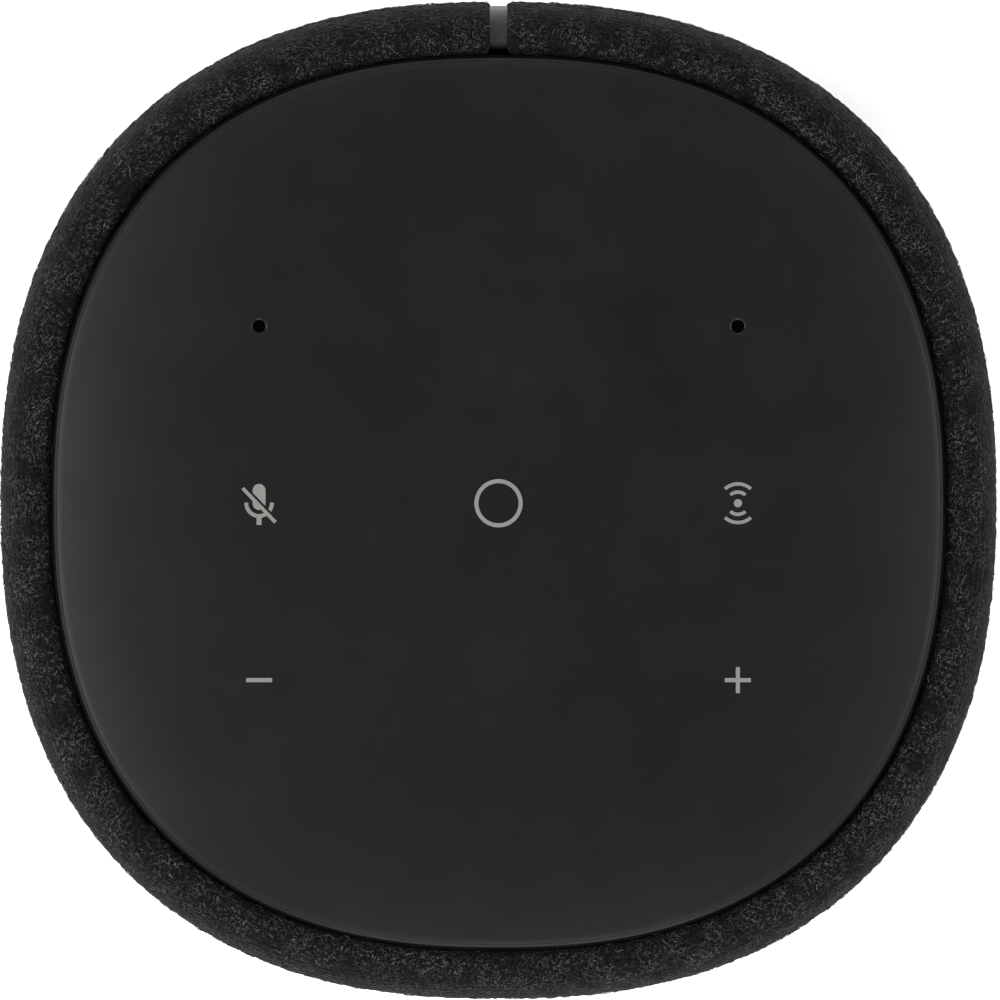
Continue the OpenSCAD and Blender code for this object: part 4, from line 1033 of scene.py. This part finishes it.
def recess_cutter(head, tall):
    """A crossed cutter that gets narrower towards its foot."""
    arm, half_slot = head * 0.55, head * 0.13
    quarter = [(half_slot, half_slot), (half_slot, arm), (-half_slot, arm)]
    outline = quarter + [(-y, x) for x, y in quarter] + [(-x, -y) for x, y in quarter]
    outline += [(y, -x) for x, y in quarter]
    count = len(outline)
    points = [(x * 0.5, y * 0.5, tall * 0.5) for x, y in outline]
    points += [(x * 1.1, y * 1.1, tall * 1.3) for x, y in outline]
    faces = [tuple(reversed(range(count))), tuple(range(count, 2 * count))]
    faces += [(k, (k + 1) % count, count + (k + 1) % count, count + k) for k in range(count)]
    return make_piece("recess", points, faces, STEEL_LOOK)


def screw_piece(shaft, length, head, tall, axis):
    """A screw with its seat at the origin and its head towards the axis, in metres."""
    core, pitch = shaft * 0.8, shaft * 0.7
    section = [(0, tall), (head * 0.6, tall), (head * 0.82, tall * 0.93), (head * 0.95, tall * 0.74),
               (head, tall * 0.5), (head, tall * 0.06), (head * 0.96, 0), (shaft, 0)]
    for turn in range(int(length * 0.86 / pitch)):
        z = -length * 0.08 - turn * pitch
        section += [(core, z), (core, z - pitch * 0.3), (shaft, z - pitch * 0.6), (shaft, z - pitch * 0.7)]
    section += [(core, -length * 0.97), (core * 0.7, -length), (0, -length)]
    screw = make_piece("screw", *turned(section, SCREW_STEPS, round_point), STEEL_LOOK)
    cut_out(screw, recess_cutter(head, tall), 35)
    screw.data.transform(Vector((0, 0, 1)).rotation_difference(axis).to_matrix().to_4x4())
    return screw


# %% Screw-setting tree
set_rule, given, result = new_rule("set_screws", [
    ("Screw", "Object", None), ("Axis", "Vector", (0.0, 0.0, 1.0)), ("Seed", "Int", 3),
    ("Finish", "Material", None)])
master = set_rule.add("GeometryNodeObjectInfo", {"Object": given["Screw"]}).outputs["Geometry"]
stop = set_rule.add("FunctionNodeAxisAngleToRotation", {
    "Axis": given["Axis"], "Angle": random_value(set_rule, 0.0, math.tau, given["Seed"])}).outputs[0]
placed = set_rule.add("GeometryNodeInstanceOnPoints", {
    "Points": given["Geometry"], "Instance": master, "Rotation": stop}).outputs[0]
settle(set_rule, placed, given["Finish"], result["Geometry"])

# %% Set the screws
UP, DOWN, REARWARD, FORWARD = (Vector(v) for v in ((0, 0, 1), (0, 0, -1), (0, 1, 0), (0, -1, 0)))
SCREWS = [
    # node, head towards, shaft diameter, head height, least and most head diameter, in millimetres
    ("touch_board_screws", UP, 2.0, 1.5, 0, 9), ("carrier_screws", UP, 3.0, 1.6, 0, 9),
    ("base_screws", DOWN, 3.0, 2.4, 0, 9), ("board_screws", UP, 2.5, 1.8, 0, 9),
    ("cabinet_screws", REARWARD, 3.0, 2.4, 0, 9),
    ("woofer_screws", FORWARD, 3.0, 2.0, 4, 9), ("woofer_screws", FORWARD, 1.8, 1.2, 0, 4),
]
for number, (node, axis, shaft_width, head_height, least, most) in enumerate(SCREWS):
    tall = head_height * MM
    line_of_axis = max(range(3), key=lambda k: abs(axis[k]))
    across = (line_of_axis + 1) % 3
    boxes = [box for box in separate_boxes(node) if least < (box[1] - box[0])[across] / MM < most]
    size = boxes[0][1] - boxes[0][0]
    seats = []
    for low_corner, high_corner in boxes:
        seat = (low_corner + high_corner) / 2
        head_end = high_corner if axis[line_of_axis] > 0 else low_corner
        seat[line_of_axis] = head_end[line_of_axis] - axis[line_of_axis] * tall
        seats.append(tuple(seat))
    screw = screw_piece(shaft_width / 2 * MM, size[line_of_axis] - tall, size[across] / 2, tall, axis)
    row_of_screws = make_piece(f"{node}_{number}", seats, [], STEEL_LOOK)
    grow(row_of_screws, set_rule, {"Screw": screw, "Axis": tuple(axis), "Seed": number + 1,
                                   "Finish": STEEL_LOOK})
    bpy.data.objects.remove(screw)
    set_in(row_of_screws, [node])

# %% [markdown]
# ## The surround and the spider
# The cone hangs in two rings that flex: a rubber half roll at its edge and a corrugated cloth disc
# at its neck. Each ring is made in twelve equal sectors, closed pieces that each run along a
# slice of the ring from the fixed rim to the moving neck, and since all are alike, their cut sides meet.

# %% Flexing rings
WOOFER_X, WOOFER_FRONT, WOOFER_Z = 0.0, -46.0, 78.0
SECTORS = 12
SECTOR_STEPS = 9


def woofer_point(radius, angle, out):
    """A point on the woofer, from its radius, its angle and its height out of the flange."""
    return Vector(((WOOFER_X + radius * math.cos(angle)) * MM, (WOOFER_FRONT - out) * MM,
                   (WOOFER_Z + radius * math.sin(angle)) * MM))


def flexing_ring(node, profile):
    """Closed sectors of a ring, each running between the hub and the cone."""
    count = len(profile)
    faces = [tuple(reversed(range(count))), tuple(range(SECTOR_STEPS * count, (SECTOR_STEPS + 1) * count))]
    for near in range(0, SECTOR_STEPS * count, count):
        for k in range(count):
            turn = (k + 1) % count
            faces.append((near + k, near + turn, near + count + turn, near + count + k))
    for sector in range(SECTORS):
        angles = [math.tau / SECTORS * (sector + step / SECTOR_STEPS) for step in range(SECTOR_STEPS + 1)]
        points = [woofer_point(radius, angle, out) for angle in angles for radius, out in profile]
        piece = make_piece(f"{node}_{sector:02d}", points, faces, FINISHES[slot_of[node]])
        face_outwards(piece)
        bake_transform(piece)
        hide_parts(node)
    print(node, "sectors:", SECTORS)


roll_over = arc((34.8, 3.35), (2.8, 2.8), 180, 0, 14)
roll_under = arc((34.8, 3.35), (2.25, 2.25), 0, 180, 14)
surround = [(30.6, 2.75), (30.6, 3.35)] + roll_over + [(39.5, 3.35), (39.5, 2.75)] + roll_under
flexing_ring("woofer_surround", surround)
RIPPLES, RIPPLE_STEPS = 5, 50
ripple = [(13.05 + 12.95 * k / RIPPLE_STEPS, -14.95 + 0.55 * math.sin(math.tau * RIPPLES * k / RIPPLE_STEPS))
          for k in range(RIPPLE_STEPS + 1)]
spider = ripple + [(29.0, -14.95), (29.0, -15.9), (26.2, -15.9)] + [(r, h - 0.5) for r, h in reversed(ripple)]
flexing_ring("woofer_spider", spider)

# %% [markdown]
# ## The wadding pad
# A slab of polyester wadding lies against the cabinet's rear wall and takes up stray sound. It is cut
# with soft edges: thick in the middle, thin at the rim, and lumpy all over, so a grid of points is
# lifted by a rounded profile and a little noise, and its back stays flat on the wall.

# %% Wadding pad
pad_low, pad_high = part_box("damping_pad")
pad_middle = (pad_low + pad_high) / 2
pad_half = (pad_high - pad_low) / 2
PAD_STEPS = 44
LUMPS_PER_METRE = 140


def pad_grid(front):
    """Points of one face of the pad: the front is crowned and lumpy, the back lies flat."""
    made = []
    for i in range(PAD_STEPS + 1):
        for j in range(PAD_STEPS + 1):
            u, v = 2 * i / PAD_STEPS - 1, 2 * j / PAD_STEPS - 1
            pull = 1 - 0.035 * (1 - min(1, abs(u * v) * 1.6))
            x, z = pad_middle[0] + pad_half[0] * u * pull, pad_middle[2] + pad_half[2] * v * pull
            crown = ((1 - abs(u) ** 5) * (1 - abs(v) ** 5)) ** 0.5
            lump = 0.85 + 0.15 * noise.noise(Vector((x * LUMPS_PER_METRE, 3.0, z * LUMPS_PER_METRE)))
            deep = 2 * pad_half[1] * (0.12 + 0.86 * crown * lump) if front else 0.0
            made.append((x, pad_high[1] - deep, z))
    return made


points = pad_grid(front=True) + pad_grid(front=False)
side = PAD_STEPS + 1
to_back = side * side
faces = []
for i in range(PAD_STEPS):
    for j in range(PAD_STEPS):
        a, b, c, d = i * side + j, (i + 1) * side + j, (i + 1) * side + j + 1, i * side + j + 1
        faces += [(a, b, c, d), (d + to_back, c + to_back, b + to_back, a + to_back)]
rim_path = [i * side for i in range(side)] + [PAD_STEPS * side + j for j in range(1, side)]
rim_path += [i * side + PAD_STEPS for i in range(PAD_STEPS - 1, -1, -1)] + list(range(PAD_STEPS - 1, 0, -1))
for a, b in zip(rim_path, rim_path[1:] + rim_path[:1]):
    faces.append((b, a, a + to_back, b + to_back))
pad = make_piece("wadding_pad", points, faces, FINISHES["wadding"], sharp=70)
face_outwards(pad)
set_in(pad, ["damping_pad"])

# %% [markdown]
# ## Finishes for the pieces that keep the model's mesh
# Boards, cans, small parts and legends are right as they are. Each takes the finish that its slot in
# the record names.

# %% Dress the remaining nodes
for node, kept_piece in nodes.items():
    if not kept_piece.material_slots:
        kept_piece.data.materials.append(None)
    for place_for in kept_piece.material_slots:
        place_for.material = FINISHES[slot_of[node]]
print("nodes dressed:", len(nodes))

# %% [markdown]
# ## The table
# A plain round table top. It is nearly white, with a trace of tone so that it isn't dead flat, and
# the room below its edge is as light as the top, so a low view shows no hard horizon.

# %% Floor
FLOOR_RADIUS = 1.7
FLOOR_STEPS = 96
floor_look, tree, shader, place = new_material("white_table", 0.7, spec=0.2)
tree.feed(shader["Base Color"], tree.mix(tree.speckle(place, 3.0, 3.0), shade(grey(0.9)), shade(grey(0.94))))
floor_edge = [round_point(FLOOR_RADIUS, math.tau * k / FLOOR_STEPS, 0) for k in range(FLOOR_STEPS)]
floor = make_piece("table_top", floor_edge, [tuple(range(FLOOR_STEPS))], floor_look)
